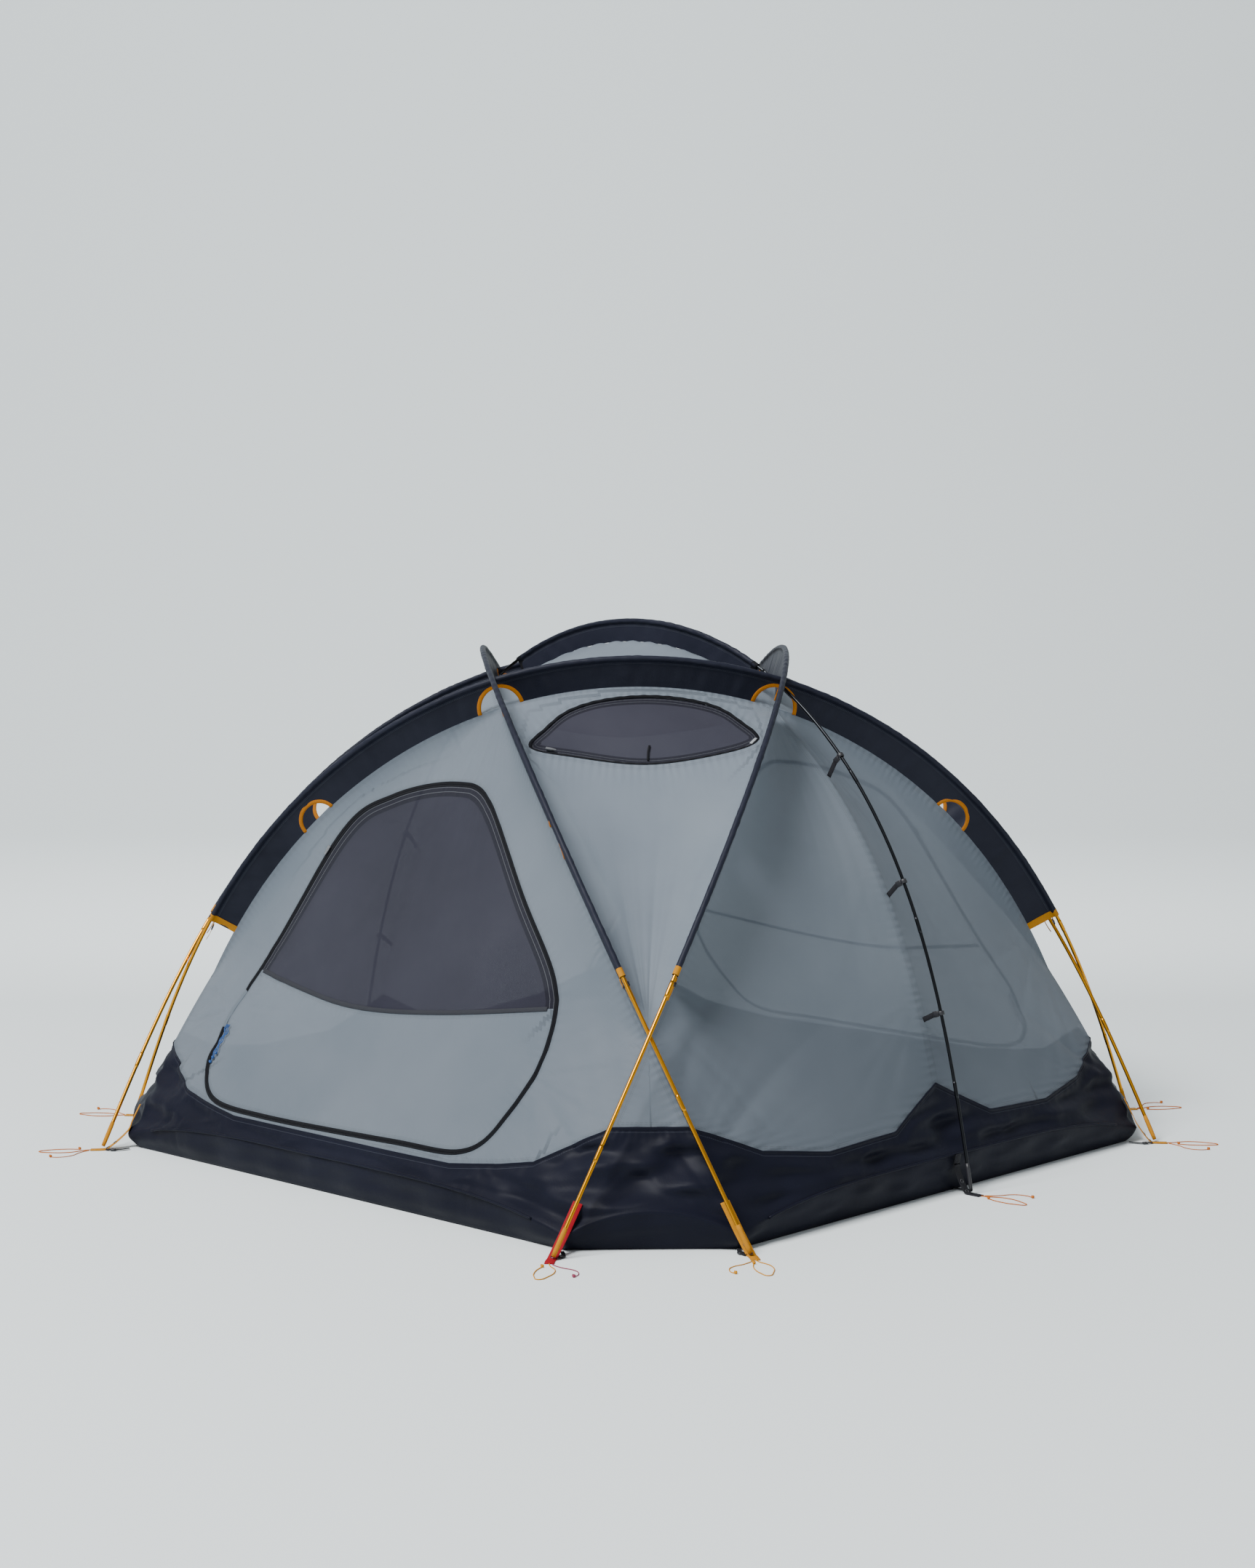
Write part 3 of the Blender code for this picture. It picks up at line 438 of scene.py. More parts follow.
def tubeMesh(name, points, radii, sides=14, flat=1.0, up=None):
    # A closed tube with its own radius at each point; flat squeezes it along up.
    points = np.asarray(points, float)
    radii = np.broadcast_to(radii, len(points)).astype(float)
    _, side, high = frames(points, None if up is None else np.asarray(up, float))
    points = np.concatenate([points[:1], points, points[-1:]])
    side = np.concatenate([side[:1], side, side[-1:]])
    high = np.concatenate([high[:1], high, high[-1:]])
    radii = np.concatenate([[0], radii, [0]])
    angle = np.linspace(0, 2 * pi, sides + 1)
    across, rise = np.cos(angle)[None, :, None], flat * np.sin(angle)[None, :, None]
    grid = points[:, None] + (across * side[:, None] + rise * high[:, None]) * radii[:, None, None]
    return gridMesh(name, grid, faceRound)


def joined(name, meshes):
    bm = bmesh.new()
    for mesh in meshes:
        bm.from_mesh(mesh)
        bpy.data.meshes.remove(mesh)
    whole = bpy.data.meshes.new(name)
    bm.to_mesh(whole)
    bm.free()
    whole.shade_smooth()
    return whole


def turned(points, quarter):
    # Quarter turns about the Z axis.
    c, s = ((1, 0), (0, 1), (-1, 0), (0, -1))[quarter % 4]
    x, y, z = points[..., 0], points[..., 1], points[..., 2]
    return np.stack([c * x - s * y, s * x + c * y, z], axis=-1)


def smoothThrough(points, count, closed=False):
    p = np.array(points, float)
    n = len(p)
    out = []
    for i in range(n if closed else n - 1):
        if closed:
            before, a, b, after = p[i - 1], p[i], p[(i + 1) % n], p[(i + 2) % n]
        else:
            before, a, b, after = p[max(i - 1, 0)], p[i], p[i + 1], p[min(i + 2, n - 1)]
        for t in np.arange(count) / count:
            out.append(0.5 * (2 * a + (b - before) * t + (2 * before - 5 * a + 4 * b - after) * t**2
                              + (3 * a - before - 3 * b + after) * t**3))
    if not closed:
        out.append(p[-1])
    return np.array(out)


def evenly(points, gap):
    # The same line with its points a set distance apart.
    run = steps(points)
    at = np.linspace(0, run[-1], max(2, round(run[-1] / gap) + 1))
    return np.column_stack([np.interp(at, run, points[:, k]) for k in range(points.shape[1])])


# ---- the lines the poles follow, as the frame has them
pole = {"foot": 1.22, "footInset": 0.336, "lean": 0.664, "bend": 1.252, "goldRadius": 0.005125,
        "ridgeFoot": 1.215, "ridgeBend": 1.38, "ridgeRadius": 0.0045, "ridgeScale": 0.994, "spread": 0.0068}
arches = {"a": ((1, 1), 0.009), "b": ((-1, -1), 0.009), "c": ((1, -1), -0.004), "d": ((-1, 1), -0.004)}
canopy = {"seam": 0.94, "seamAtFoot": 0.972, "crownSeam": 0.956, "seamLow": 0.04, "creaseHalf": 1.155,
          "creaseHeight": 0.1, "cornerTop": 0.275, "floorHalf": 1.135, "floorCorner": 0.84}


def bentRod(bend, count=801):
    s = np.linspace(-1, 1, count)
    angle = bend * np.sin(pi * s / 2)
    across = np.concatenate([[0], np.cumsum((np.cos(angle[1:]) + np.cos(angle[:-1])) / 2)])
    up = np.concatenate([[0], np.cumsum(-(np.sin(angle[1:]) + np.sin(angle[:-1])) / 2)])
    return s, across / across[-1] * 2 - 1, up / across[-1] * 2


def archCurve():
    s, across, up = bentRod(pole["bend"])
    start = np.array([pole["foot"] - pole["footInset"], -pole["foot"]])
    end = np.array([-pole["foot"], pole["foot"] - pole["footInset"]])
    half = np.linalg.norm(end - start) / 2
    height = np.sqrt((up.max() * half) ** 2 - pole["lean"] ** 2)
    share = up / up.max()
    lean = pole["lean"] * np.array([1, 1]) / np.sqrt(2)
    flat = (start + end) / 2 + np.outer(across, (end - start) / 2) + np.outer(share, lean)
    return s, np.column_stack([flat, share * height])


def ridgeCurve():
    s, across, up = bentRod(pole["ridgeBend"])
    return s, np.column_stack([-across, 0 * s, up]) * pole["ridgeFoot"] * pole["ridgeScale"]


def alongCurve(curve, at):
    s, points = curve
    return np.column_stack([np.interp(at, s, points[:, k]) for k in range(3)])


arch, ridge = archCurve(), ridgeCurve()
peak = arch[1][:, 2].max()
axisAt = float(np.interp(0, arch[1][:400, 1], arch[0][:400]))
cornerAt = float(np.interp(0, (arch[1][:, 0] + arch[1][:, 1])[:400], arch[0][:400]))


def archPoints(key, at):
    lean, lift = arches[key]
    points = alongCurve(arch, at)
    share = points[:, 2:] / peak
    apart = -np.sign(at)[:, None] * pole["spread"] * (1 - share)
    return points * (1 + lift * share + apart) * np.array([*lean, 1])


def seamPoints(at):
    low = np.clip((np.abs(at) - abs(cornerAt)) / (1 - abs(cornerAt)), 0, 1)
    return alongCurve(arch, at) * (canopy["seam"] + (canopy["seamAtFoot"] - canopy["seam"]) * low)[:, None]


lowReach = np.linspace(-1, cornerAt, 600)
lowAt = float(np.interp(canopy["seamLow"], seamPoints(lowReach)[:, 2], lowReach))


# ---- the surfaces the cloth is stretched to
def relaxed(grid, fixed, rounds=1500):
    for _ in range(rounds):
        mean = (grid[:-2, 1:-1] + grid[2:, 1:-1] + grid[1:-1, :-2] + grid[1:-1, 2:]) / 4
        grid[1:-1, 1:-1] = np.where(fixed[1:-1, 1:-1, None], grid[1:-1, 1:-1], mean)
    return grid


def border(shape):
    fixed = np.zeros(shape[:2], bool)
    fixed[[0, -1]] = True
    fixed[:, [0, -1]] = True
    return fixed


def refined(grid, factor):
    rows = smoothThrough(grid, factor)
    return np.swapaxes(smoothThrough(np.swapaxes(rows, 0, 1), factor), 0, 1)


def wallEdge(count):
    upper = seamPoints(np.linspace(axisAt, cornerAt, count // 2 + 1))
    lower = seamPoints(np.linspace(cornerAt, lowAt, count // 2 + 1))[1:]
    return np.concatenate([upper, lower[:, [1, 0, 2]] * [-1, -1, 1]])


def wallSurface(ridged, size=33):
    left = wallEdge(size - 1)
    right = left * [1, -1, 1]
    u = np.linspace(-1, 1, size)[:, None]
    grid = left[:, None] * (1 - u) / 2 + right[:, None] * (1 + u) / 2
    foot = left[-1]
    dip = 1 - u[:, 0] ** 4
    grid[-1, :, 0] = foot[0] + (canopy["creaseHalf"] - foot[0]) * dip
    grid[-1, :, 2] = foot[2] + (canopy["creaseHeight"] - foot[2]) * dip
    fixed = border(grid.shape)
    if ridged:
        seam = ridge[1][:401] * canopy["seam"] / pole["ridgeScale"]
        heights = np.linspace(left[0, 2], canopy["creaseHeight"], size)[1:-1]
        grid[1:-1, size // 2, 0] = np.interp(heights, seam[:, 2], seam[:, 0])
        grid[1:-1, size // 2, 2] = heights
        fixed[:, size // 2] = True
    return relaxed(grid, fixed)


def upperCornerSurface(size=17):
    left = seamPoints(np.linspace(axisAt, cornerAt, size)) * [1, -1, 1]
    right = left[:, [1, 0, 2]]
    top = seamPoints(np.linspace(axisAt, -axisAt, size))
    u = np.linspace(0, 1, size)[:, None]
    t = np.linspace(0, 1, size)[:, None, None]
    grid = left[:, None] * (1 - u) + right[:, None] * u
    grid += (top - top[0] * (1 - u) - top[-1] * u) * (1 - t) ** 2
    return relaxed(grid, border(grid.shape))


def lowerCornerSurface(rows=17, columns=9):
    right = seamPoints(np.linspace(cornerAt, lowAt, rows)) * [1, -1, 1]
    left = right[:, [1, 0, 2]]
    u = np.linspace(0, 1, columns)[:, None]
    grid = left[:, None] * (1 - u) + right[:, None] * u
    grid[-1, :, 2] += (canopy["creaseHeight"] - canopy["seamLow"]) * 4 * (u * (1 - u))[:, 0]
    return relaxed(grid, border(grid.shape))


def crownSurface(size=17):
    arc = seamPoints(np.linspace(axisAt, -axisAt, size))
    near, far = arc, (arc * [-1, -1, 1])[::-1]
    left, right = arc * [1, -1, 1], (arc * [-1, 1, 1])[::-1]
    p = np.linspace(0, 1, size)[None, :, None]
    q = np.linspace(0, 1, size)[:, None, None]
    grid = near * (1 - q) + far * q + left[:, None] * (1 - p) + right[:, None] * p
    grid -= (near[0] * (1 - p) + near[-1] * p) * (1 - q) + (far[0] * (1 - p) + far[-1] * p) * q
    line = ridge[1] * canopy["crownSeam"] / pole["ridgeScale"]
    x = np.linspace(arc[0, 0], -arc[0, 0], size)
    rise = np.interp(-x, -line[:, 0], line[:, 2])
    rise = (rise - rise[0]) / (rise.max() - rise[0]) * (line[:, 2].max() - arc[0, 2])
    fixed = border(grid.shape)
    for i in range(size):
        grid[i, i] = (x[i], 0, arc[0, 2] + rise[i])
        fixed[i, i] = True
    return relaxed(grid, fixed)


def tubTop(u, ridged):
    if ridged:
        return np.interp(np.abs(u), (0, 0.1, 0.24, 0.55, 0.8, 1), (0.275, 0.235, 0.18, 0.17, 0.2, 0.275))
    return np.interp(np.abs(u), (0.5, 0.68, 0.8, 0.88, 1), (0.142, 0.16, 0.178, 0.215, 0.275))


# ---- folds in stretched cloth
def gridNormals(grid):
    down, over = np.gradient(grid, axis=0), np.gradient(grid, axis=1)
    normal = units(np.cross(down, over))
    return normal * np.sign(np.sum(normal * grid, axis=-1, keepdims=True))


def buckles(points, seed, size, depth, count=9):
    # Broad shallow waves in many directions.
    rng = np.random.default_rng(seed)
    out = np.zeros(points.shape[:-1])
    for _ in range(count):
        way = units(rng.normal(size=3)) * 2 * pi / (size * rng.uniform(0.6, 1.6))
        out += np.sin(points @ way + rng.uniform(0, 2 * pi)) * rng.uniform(0.4, 1)
    return out * depth / np.sqrt(count)


def fan(flat, at, facing, spread, count, depth, reach, seed=0):
    # Folds that run out from a place that pulls on the cloth, strongest at their reach.
    rng = np.random.default_rng(seed)
    away = flat - np.array(at)
    size = np.linalg.norm(away, axis=-1)
    angle = np.arctan2(away[..., 1], away[..., 0]) - radians(facing)
    angle = (angle + pi) % (2 * pi) - pi
    share = np.clip(1 - np.abs(angle) / radians(spread), 0, 1)
    folds = np.zeros(size.shape)
    for k, weight in ((1.0, 0.6), (1.7, 0.45), (2.6, 0.25)):
        phase = rng.uniform(0, 2 * pi)
        wave = np.abs(np.sin(angle * k * count * pi / radians(2 * spread) + phase + 2.0 * size))
        folds += weight * (wave ** 0.8 - 0.62)
    profile = size / reach * np.exp(1 - size / reach)
    return depth * folds * eased(share * 2) * profile


def nearest(points, line):
    # For each place, how far along the line its nearest spot is, and how far off it is.
    run = steps(line)
    best = np.full(len(points), np.inf)
    at = np.zeros(len(points))
    for i in range(len(line) - 1):
        step = line[i + 1] - line[i]
        size = float(step @ step)
        if size < 1e-14:
            continue
        t = np.clip((points - line[i]) @ step / size, 0, 1)
        off = np.linalg.norm(points - line[i] - t[:, None] * step, axis=1)
        closer = off < best
        best[closer] = off[closer]
        at[closer] = run[i] + t[closer] * np.sqrt(size)
    return at, best


def within(points, outline):
    x, z = points.T
    inside = np.zeros(len(points), bool)
    for (ax, az), (bx, bz) in zip(outline, np.roll(outline, -1, axis=0)):
        if az == bz:
            continue
        crosses = (az > z) != (bz > z)
        inside ^= crosses & (x < ax + (z - az) * (bx - ax) / (bz - az))
    return inside


def signedOff(flat, outline):
    # Distance outside a closed outline, less than nought inside it, and the place along it.
    places = flat.reshape(-1, 2)
    run, off = nearest(places, np.concatenate([outline, outline[:1]]))
    off = np.where(within(places, outline), -off, off)
    return run.reshape(flat.shape[:-1]), off.reshape(flat.shape[:-1])


def movedOut(outline, by):
    following = np.roll(outline, -1, axis=0)
    ahead = following - np.roll(outline, 1, axis=0)
    normal = units(np.column_stack([ahead[:, 1], -ahead[:, 0]]))
    area = np.sum(outline[:, 0] * following[:, 1] - outline[:, 1] * following[:, 0])
    return outline + normal * by * np.sign(area)


def keepSide(bm, layer, sign):
    # Splits the faces where the layer's value is nought, and keeps one side.
    new = []
    for edge in list(bm.edges):
        a, b = edge.verts
        if a[layer] * b[layer] < 0:
            _, vert = bmesh.utils.edge_split(edge, a, a[layer] / (a[layer] - b[layer]))
            vert[layer] = 0
            new.append(vert)
    bmesh.ops.connect_verts(bm, verts=new)
    gone = [face for face in bm.faces if sum(v[layer] for v in face.verts) * sign < 0]
    bmesh.ops.delete(bm, geom=gone, context="FACES")


def sheetMesh(name, grid, edge, cuts=()):
    # A sheet over a grid; edge gives each place its run along the nearest hem and its distance from it.
    # Each cut is a field with the side of nought that stays.
    mesh, corner, flat = bareGrid(name, grid)
    addMap(mesh, "flat", corner, flat)
    addMap(mesh, "edge", corner, np.stack(edge, axis=-1))

    def trim(bm):
        bm.verts.ensure_lookup_table()
        layers = [bm.verts.layers.float.new(f"cut{i}") for i in range(len(cuts))]
        for layer, (field, _) in zip(layers, cuts):
            for vert, value in zip(bm.verts, np.where(np.abs(field) < 1e-6, 1e-6, field).ravel()):
                vert[layer] = value
        for layer, (_, sign) in zip(layers, cuts):
            keepSide(bm, layer, sign)

    edited(mesh, trim, weld, faceOut)
    for i in range(len(cuts)):
        left = mesh.attributes.get(f"cut{i}")
        if left:
            mesh.attributes.remove(left)
    return mesh


def placeSheet(mesh, look, body, node):
    obj = addPiece(mesh.name, mesh, look, body)
    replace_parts(obj, node)
    box = np.array([v.co for v in mesh.vertices])
    reach = box.max(axis=0) - box.min(axis=0)
    area = sum(face.area for face in mesh.polygons)
    width = max(reach[0], reach[1], 0.05)
    length = max(area / width, reach[2], 0.05)
    area = max(min(area, width * length), 0.3 * width * length)
    return obj


def treeOf(grid):
    rows, columns = grid.shape[:2]
    places = [Vector(p) for p in grid.reshape(-1, 3)]
    faces = [(r * columns + c, r * columns + c + 1, (r + 1) * columns + c + 1, (r + 1) * columns + c)
             for r in range(rows - 1) for c in range(columns - 1)]
    return BVHTree.FromPolygons(places, faces)


def onSurface(tree, line, across, out, base=0.0):
    # Places and outward directions on a surface under a flat line seen square on.
    across, out = Vector((*across, 0)), Vector((*out, 0))
    places, normals = [], []
    for x, z in line:
        hit, normal, _, _ = tree.ray_cast(across * x + Vector((0, 0, z + base)) + out * 1.6, -out)
        if hit is not None:
            places.append(hit)
            normals.append(normal if normal.dot(out) > 0 else -normal)
    return np.array(places), np.array(normals)


def strip(name, points, ups, width, thickness, lift=0.0):
    # A flat band along a line, with its underside on the line when lift is half its thickness.
    _, side, up = frames(points, ups)
    w, t = width / 2, thickness / 2
    c = min(w, t) * 0.5
    ring = [(-w, -t + c), (-w, t - c), (-w + c, t), (w - c, t), (w, t - c), (w, -t + c), (w - c, -t),
            (-w + c, -t), (-w, -t + c)]
    rows = [points + side * a + up * (b + lift) for a, b in ring]
    grid = np.stack(rows, axis=1)
    first, last = points[:1] + up[:1] * lift, points[-1:] + up[-1:] * lift
    grid = np.concatenate([np.repeat(first[:, None], len(ring), axis=1), grid,
                           np.repeat(last[:, None], len(ring), axis=1)])
    return gridMesh(name, grid, faceRound)


def addStrip(name, places, ups, size, look, body="tent"):
    band = strip(name, places, ups, size["width"], size["thickness"], size.get("lift", 0.0))
    return addPiece(name, band, look, body)


# How many times finer the cloth is than the surface it was worked out on.
fine, finer = 5, 6
doorWall = refined(wallSurface(False), fine)
sideWall = refined(wallSurface(True), fine)
upperCorner = refined(upperCornerSurface(), finer)
lowerCorner = refined(lowerCornerSurface(), finer)
crownGrid = refined(crownSurface(), finer)
print("surfaces worked out")

# ---- folds on each surface, in its flat view: across and up
tension = {"foot": 0.009, "sleeveEnd": 0.0032, "apex": 0.0018, "hinge": 0.006, "clip": 0.0014,
           "broad": 0.0022, "broadSize": 0.42, "edge": 0.07, "panelSize": 0.35, "panelEdge": 0.06}
sleeveEnd = 0.675
# Where a foot pulls, which way its folds run, and how far they spread.
footSpots = [((-1.08, 0.05), 60, 60), ((1.08, 0.05), 120, 60)]
# The same for the door's sewn edge and its corners: place, facing, spread, count, share, reach, seed.
doorSpots = [((-0.645, 0.4), 215, 75, 6, 1.0, 0.11, 12), ((-0.645, 0.4), 20, 40, 4, 0.5, 0.12, 17),
             ((-0.62, 0.2), 225, 60, 5, 0.7, 0.12, 13), ((0.56, 0.36), -20, 60, 5, 0.6, 0.14, 14),
             ((0.5, 0.17), -60, 60, 4, 0.5, 0.10, 15)]
clipHeights = (0.5, 0.86, 1.12)


def bordered(grid):
    # The run along the nearest seam, and the distance from it.
    line = np.concatenate([grid[::-1, 0], grid[0], grid[:, -1]])
    run, off = nearest(grid.reshape(-1, 3), line[:: fine // 2])
    return run.reshape(grid.shape[:2]), off.reshape(grid.shape[:2])


def foldedWall(grid, door):
    flat = grid[..., 1:]
    run, off = bordered(grid)
    move = buckles(grid, 3 if door else 8, tension["broadSize"], tension["broad"])
    for i, (spot, facing, spread) in enumerate(footSpots):
        move += fan(flat, spot, facing, spread, 7, tension["foot"], 0.2, seed=i)
    at = seamPoints(np.array([-sleeveEnd]))[0]
    for side in (-1, 1):
        spot = (side * abs(at[0]), at[2])
        move += fan(flat, spot, -90 - side * 35, 70, 7, tension["sleeveEnd"], 0.2, seed=5 + side)
    move += fan(flat, (0, 1.3), -90, 38, 7, tension["apex"], 0.25, seed=9)
    if door:
        for spot, facing, spread, count, share, reach, seed in doorSpots:
            move += fan(flat, spot, facing, spread, count, tension["hinge"] * share, reach, seed)
    else:
        for height in clipHeights:
            for facing in (-20, 200):
                move += fan(flat, (0, height), facing, 60, 5, tension["clip"], 0.16, seed=int(height * 100))
    move *= eased(off / tension["edge"])
    return grid + gridNormals(grid) * move[..., None], run, off


def foldedPanel(grid, seed, depth, spots=(), ridged=False):
    run, off = bordered(grid)
    move = buckles(grid, seed, tension["panelSize"], depth)
    for spot in spots:
        move += fan(squareOn(grid), *spot)
    edge = np.minimum(off, np.linalg.norm(grid - grid[-1:, :], axis=-1))
    if ridged:
        edge = np.minimum(edge, np.abs(grid[..., 1]))
    return grid + gridNormals(grid) * (move * eased(edge / tension["panelEdge"]))[..., None], run, off


def squareOn(grid):
    # A corner seen square on: across and up.
    return np.stack([(grid[..., 1] - grid[..., 0]) / np.sqrt(2), grid[..., 2]], axis=-1)


doorWall, doorRun, doorOff = foldedWall(doorWall, True)
sideWall, sideRun, sideOff = foldedWall(sideWall, False)
cornerSpots = [((0, 0.5), 90, 40, 6, 0.0018, 0.13, 3), ((-0.53, 1.2), -50, 50, 6, 0.0022, 0.12, 4),
               ((0.53, 1.2), 230, 50, 6, 0.0022, 0.12, 6)]
gussetSpots = [((0.2, 0.05), 110, 50, 5, 0.004, 0.12, 3), ((-0.2, 0.05), 70, 50, 5, 0.004, 0.12, 4)]
cornerFlat = squareOn(upperCorner)
upperFolded, upperRun, upperOff = foldedPanel(upperCorner, 21, 0.0025, cornerSpots)
lowerFolded, lowerRun, lowerOff = foldedPanel(lowerCorner, 31, 0.0015, gussetSpots)
crownFolded, crownRun, crownOff = foldedPanel(crownGrid, 41, 0.003, ridged=True)
print("folds added")


# ---- outlines of the openings, seen square on
outlineSteps = 12
zipLine = {"apart": 0.0036, "width": 0.0058, "thickness": 0.0014, "lift": 0.0012, "coil": 0.0013,
           "coilLift": 0.0018, "gap": 0.008}
hingeFold = {"low": 0.345, "high": 0.445, "width": 0.012, "thickness": 0.0014, "lift": 0.0007, "gap": 0.006}
divider = {"width": 0.012, "thickness": 0.0012, "lift": 0.0016, "inset": 0.004, "gap": 0.01}
doorOutline = smoothThrough([
    (-0.642, 0.24), (-0.650, 0.345), (-0.620, 0.445), (-0.402, 0.88), (-0.25, 1.0), (-0.05, 1.04),
    (0.10, 1.0), (0.35, 0.775), (0.54, 0.58), (0.58, 0.42), (0.545, 0.28), (0.46, 0.178),
    (0.20, 0.166), (-0.32, 0.158), (-0.55, 0.172)], outlineSteps, closed=True)
doorSplit = smoothThrough([(-0.75, 0.53), (-0.45, 0.485), (-0.15, 0.455), (0.2, 0.475), (0.7, 0.54)], 8)
ventOutline = smoothThrough([
    (-0.29, 0.043), (-0.25, 0.088), (-0.19, 0.132), (-0.10, 0.160), (0.015, 0.171), (0.12, 0.164),
    (0.21, 0.143), (0.27, 0.108), (0.315, 0.060), (0.21, 0.025), (0.015, 0.0), (-0.18, 0.020)],
    8, closed=True)
vent = {"base": 1.107, "meshScale": 0.9985, "cornerPoint": 64, "ripple": 0.0008,
        "brow": {"width": 0.009, "thickness": 0.002}, "zip": {"width": 0.006, "thickness": 0.002},
        "loop": {"width": 0.006, "thickness": 0.0016}, "tab": {"width": 0.008, "thickness": 0.0016},
        "loopLine": [(0.02, 0.008), (0.022, 0.03), (0.026, 0.045)],
        "tabLine": [(0.296, 0.050), (0.312, 0.063)]}
doors = {"front": (3, 1), "back": (1, -1)}
cornerNames = ("back_right", "back_left", "front_left", "front_right")


# ---- walls, doors and their zips
def makeDoorSide(name, quarter, sign):
    grid = turned(doorWall, quarter)
    flat = doorWall[..., 1:]
    run, off = signedOff(flat, doorOutline)
    overTub = flat[..., 1] - tubTop(np.linspace(-1, 1, grid.shape[1])[None, :], False)
    edge = (np.where(off < doorOff, run, doorRun), np.minimum(np.abs(off), np.minimum(doorOff, overTub)))
    wall = sheetMesh(f"canopy_wall_{name}", grid, edge, [(overTub, 1), (off, 1)])
    # The door wall gets the canopy cloth painted 10% darker: painted shade.
    placeSheet(wall, "firmPaintedShadeCanopy", "tent", f"wall_{name}")
    splitRun, _ = nearest(flat.reshape(-1, 2), doorSplit)
    over = flat[..., 1] - np.interp(flat[..., 0], doorSplit[:, 0], doorSplit[:, 1])
    closer = np.abs(over) < -off
    panelEdge = (np.where(closer, splitRun.reshape(off.shape), run), np.minimum(np.abs(over), -off))
    # The far door's mesh is behind its solid cover, which is zipped shut.
    upper, upperLook = ("mesh", "mesh") if name == "front" else ("cover", "firmPaintedShadeCanopy")
    for part, look, near, side, node in ((upper, upperLook, (run, -off), 1, "mesh"),
                                         ("panel", "firmPaintedShadeCanopy", panelEdge, -1, "panel")):
        piece = sheetMesh(f"door_{part}_{name}", grid, near, [(off, -1), (over, side)])
        placeSheet(piece, look, f"door_{name}", f"door_{name}_{node}")
    makeDoorTrim(name, grid, sign)


def makeDoorTrim(name, grid, sign):
    tree = treeOf(grid)
    leaf = f"door_{name}"
    dark, tone = ("zip", "divider") if name == "front" else ("canopy", "canopy")
    # The sewn stretch runs up from the second point of the outline to the third, and turns the leaf.
    rise = doorOutline[:3 * outlineSteps, 1]
    first, last = (int(np.argmin(np.abs(rise - hingeFold[key]))) for key in ("low", "high"))

    def onDoor(line, gap):
        return onSurface(tree, evenly(line, gap) * [sign, 1], (1, 0), (0, -sign))

    def zipped(outline):
        return onDoor(np.concatenate([outline[last:], outline[:first + 1]]), zipLine["gap"])

    for part, side, body in (("frame", 1, "tent"), ("leaf", -1, leaf)):
        places, normals = zipped(movedOut(doorOutline, side * zipLine["apart"]))
        addStrip(f"zip_{part}_{name}", places, normals, zipLine, dark, body)
    places, normals = zipped(doorOutline)
    coil = tubeMesh(f"zip_coil_{name}", places + normals * zipLine["coilLift"], zipLine["coil"], 8)
    addPiece(coil.name, coil, "zip")
    sewn = doorOutline[first:last + 1]
    addStrip(f"door_hinge_{name}", *onDoor(sewn, hingeFold["gap"]), hingeFold, "canopy")
    inside = doorSplit[within(doorSplit, movedOut(doorOutline, -divider["inset"]))]
    addStrip(f"door_divider_{name}", *onDoor(inside, divider["gap"]), divider, tone, leaf)


pull = {"radius": 0.00125, "start": (-0.638, 0.352), "lift": 0.0045, "layer": 0.0012, "apart": 0.008,
        "shorter": 0.12, "count": 3,
        "route": [(0, 0), (-0.005, -0.012), (0.004, -0.026), (-0.004, -0.041), (0.003, -0.056),
                  (-0.003, -0.071), (0.002, -0.086), (0, -0.1)]}


def makePulls(name, quarter, sign):
    # Cord pulls that hang where the zip starts again, outside the door.
    tree = treeOf(turned(doorWall, quarter))
    startAcross, startUp = pull["start"]
    for i in range(pull["count"]):
        across, drop = startAcross + pull["apart"] * i, 1 - pull["shorter"] * i
        line = smoothThrough([(across + a, startUp + b * drop) for a, b in pull["route"]], 4)
        places, normals = onSurface(tree, line * [sign, 1], (1, 0), (0, -sign))
        route = places + normals * (pull["lift"] + pull["layer"] * i)
        cordName = f"pull_{name}_{i + 1}"
        tiedCord(cordName, f"{cordName}_knot", route, pull["radius"], "blueCord",
                 body=f"door_{name}")


for name, (quarter, sign) in doors.items():
    makeDoorSide(name, quarter, sign)
print("door walls made")


def makeRidgeSide(name, quarter):
    grid = turned(sideWall, quarter)
    overTub = sideWall[..., 2] - tubTop(np.linspace(-1, 1, grid.shape[1])[None, :], True)
    middle = np.abs(sideWall[..., 1])
    run = np.where(middle < sideOff, sideWall[..., 2], sideRun)
    edge = (run, np.minimum(middle, np.minimum(sideOff, overTub)))
    wall = sheetMesh(f"canopy_wall_{name}", grid, edge, [(overTub, 1)])
    placeSheet(wall, "canopy", "tent", f"wall_{name}")


makeRidgeSide("right", 0)
makeRidgeSide("left", 2)


# ---- corners, vents and crown
def makeCorner(quarter, name):
    vented = name in ("front_right", "back_left")
    grid = turned(upperFolded, quarter)
    run, off = signedOff(cornerFlat - [0, vent["base"]], ventOutline)
    edge, cuts = (upperRun, upperOff), ()
    if vented:
        edge, cuts = (np.where(off < upperOff, run, upperRun), np.minimum(np.abs(off), upperOff)), [(off, 1)]
    panel = sheetMesh(f"canopy_corner_{name}", grid, edge, cuts)
    # The corner panel gets the canopy cloth painted 14% lighter: painted light.
    placeSheet(panel, "paintedLightCanopy", "tent", f"corner_{name}")
    over = lowerFolded[..., 2] - canopy["cornerTop"]
    edge = (lowerRun, np.minimum(lowerOff, np.abs(over)))
    gusset = sheetMesh(f"canopy_gusset_{name}", turned(lowerFolded, quarter), edge, [(over, 1)])
    # The gusset gets the canopy cloth painted 10% darker: painted shade.
    placeSheet(gusset, "firmPaintedShadeCanopy", "tent", f"gusset_{name}")
    if vented:
        makeVent(grid, name, run, off)


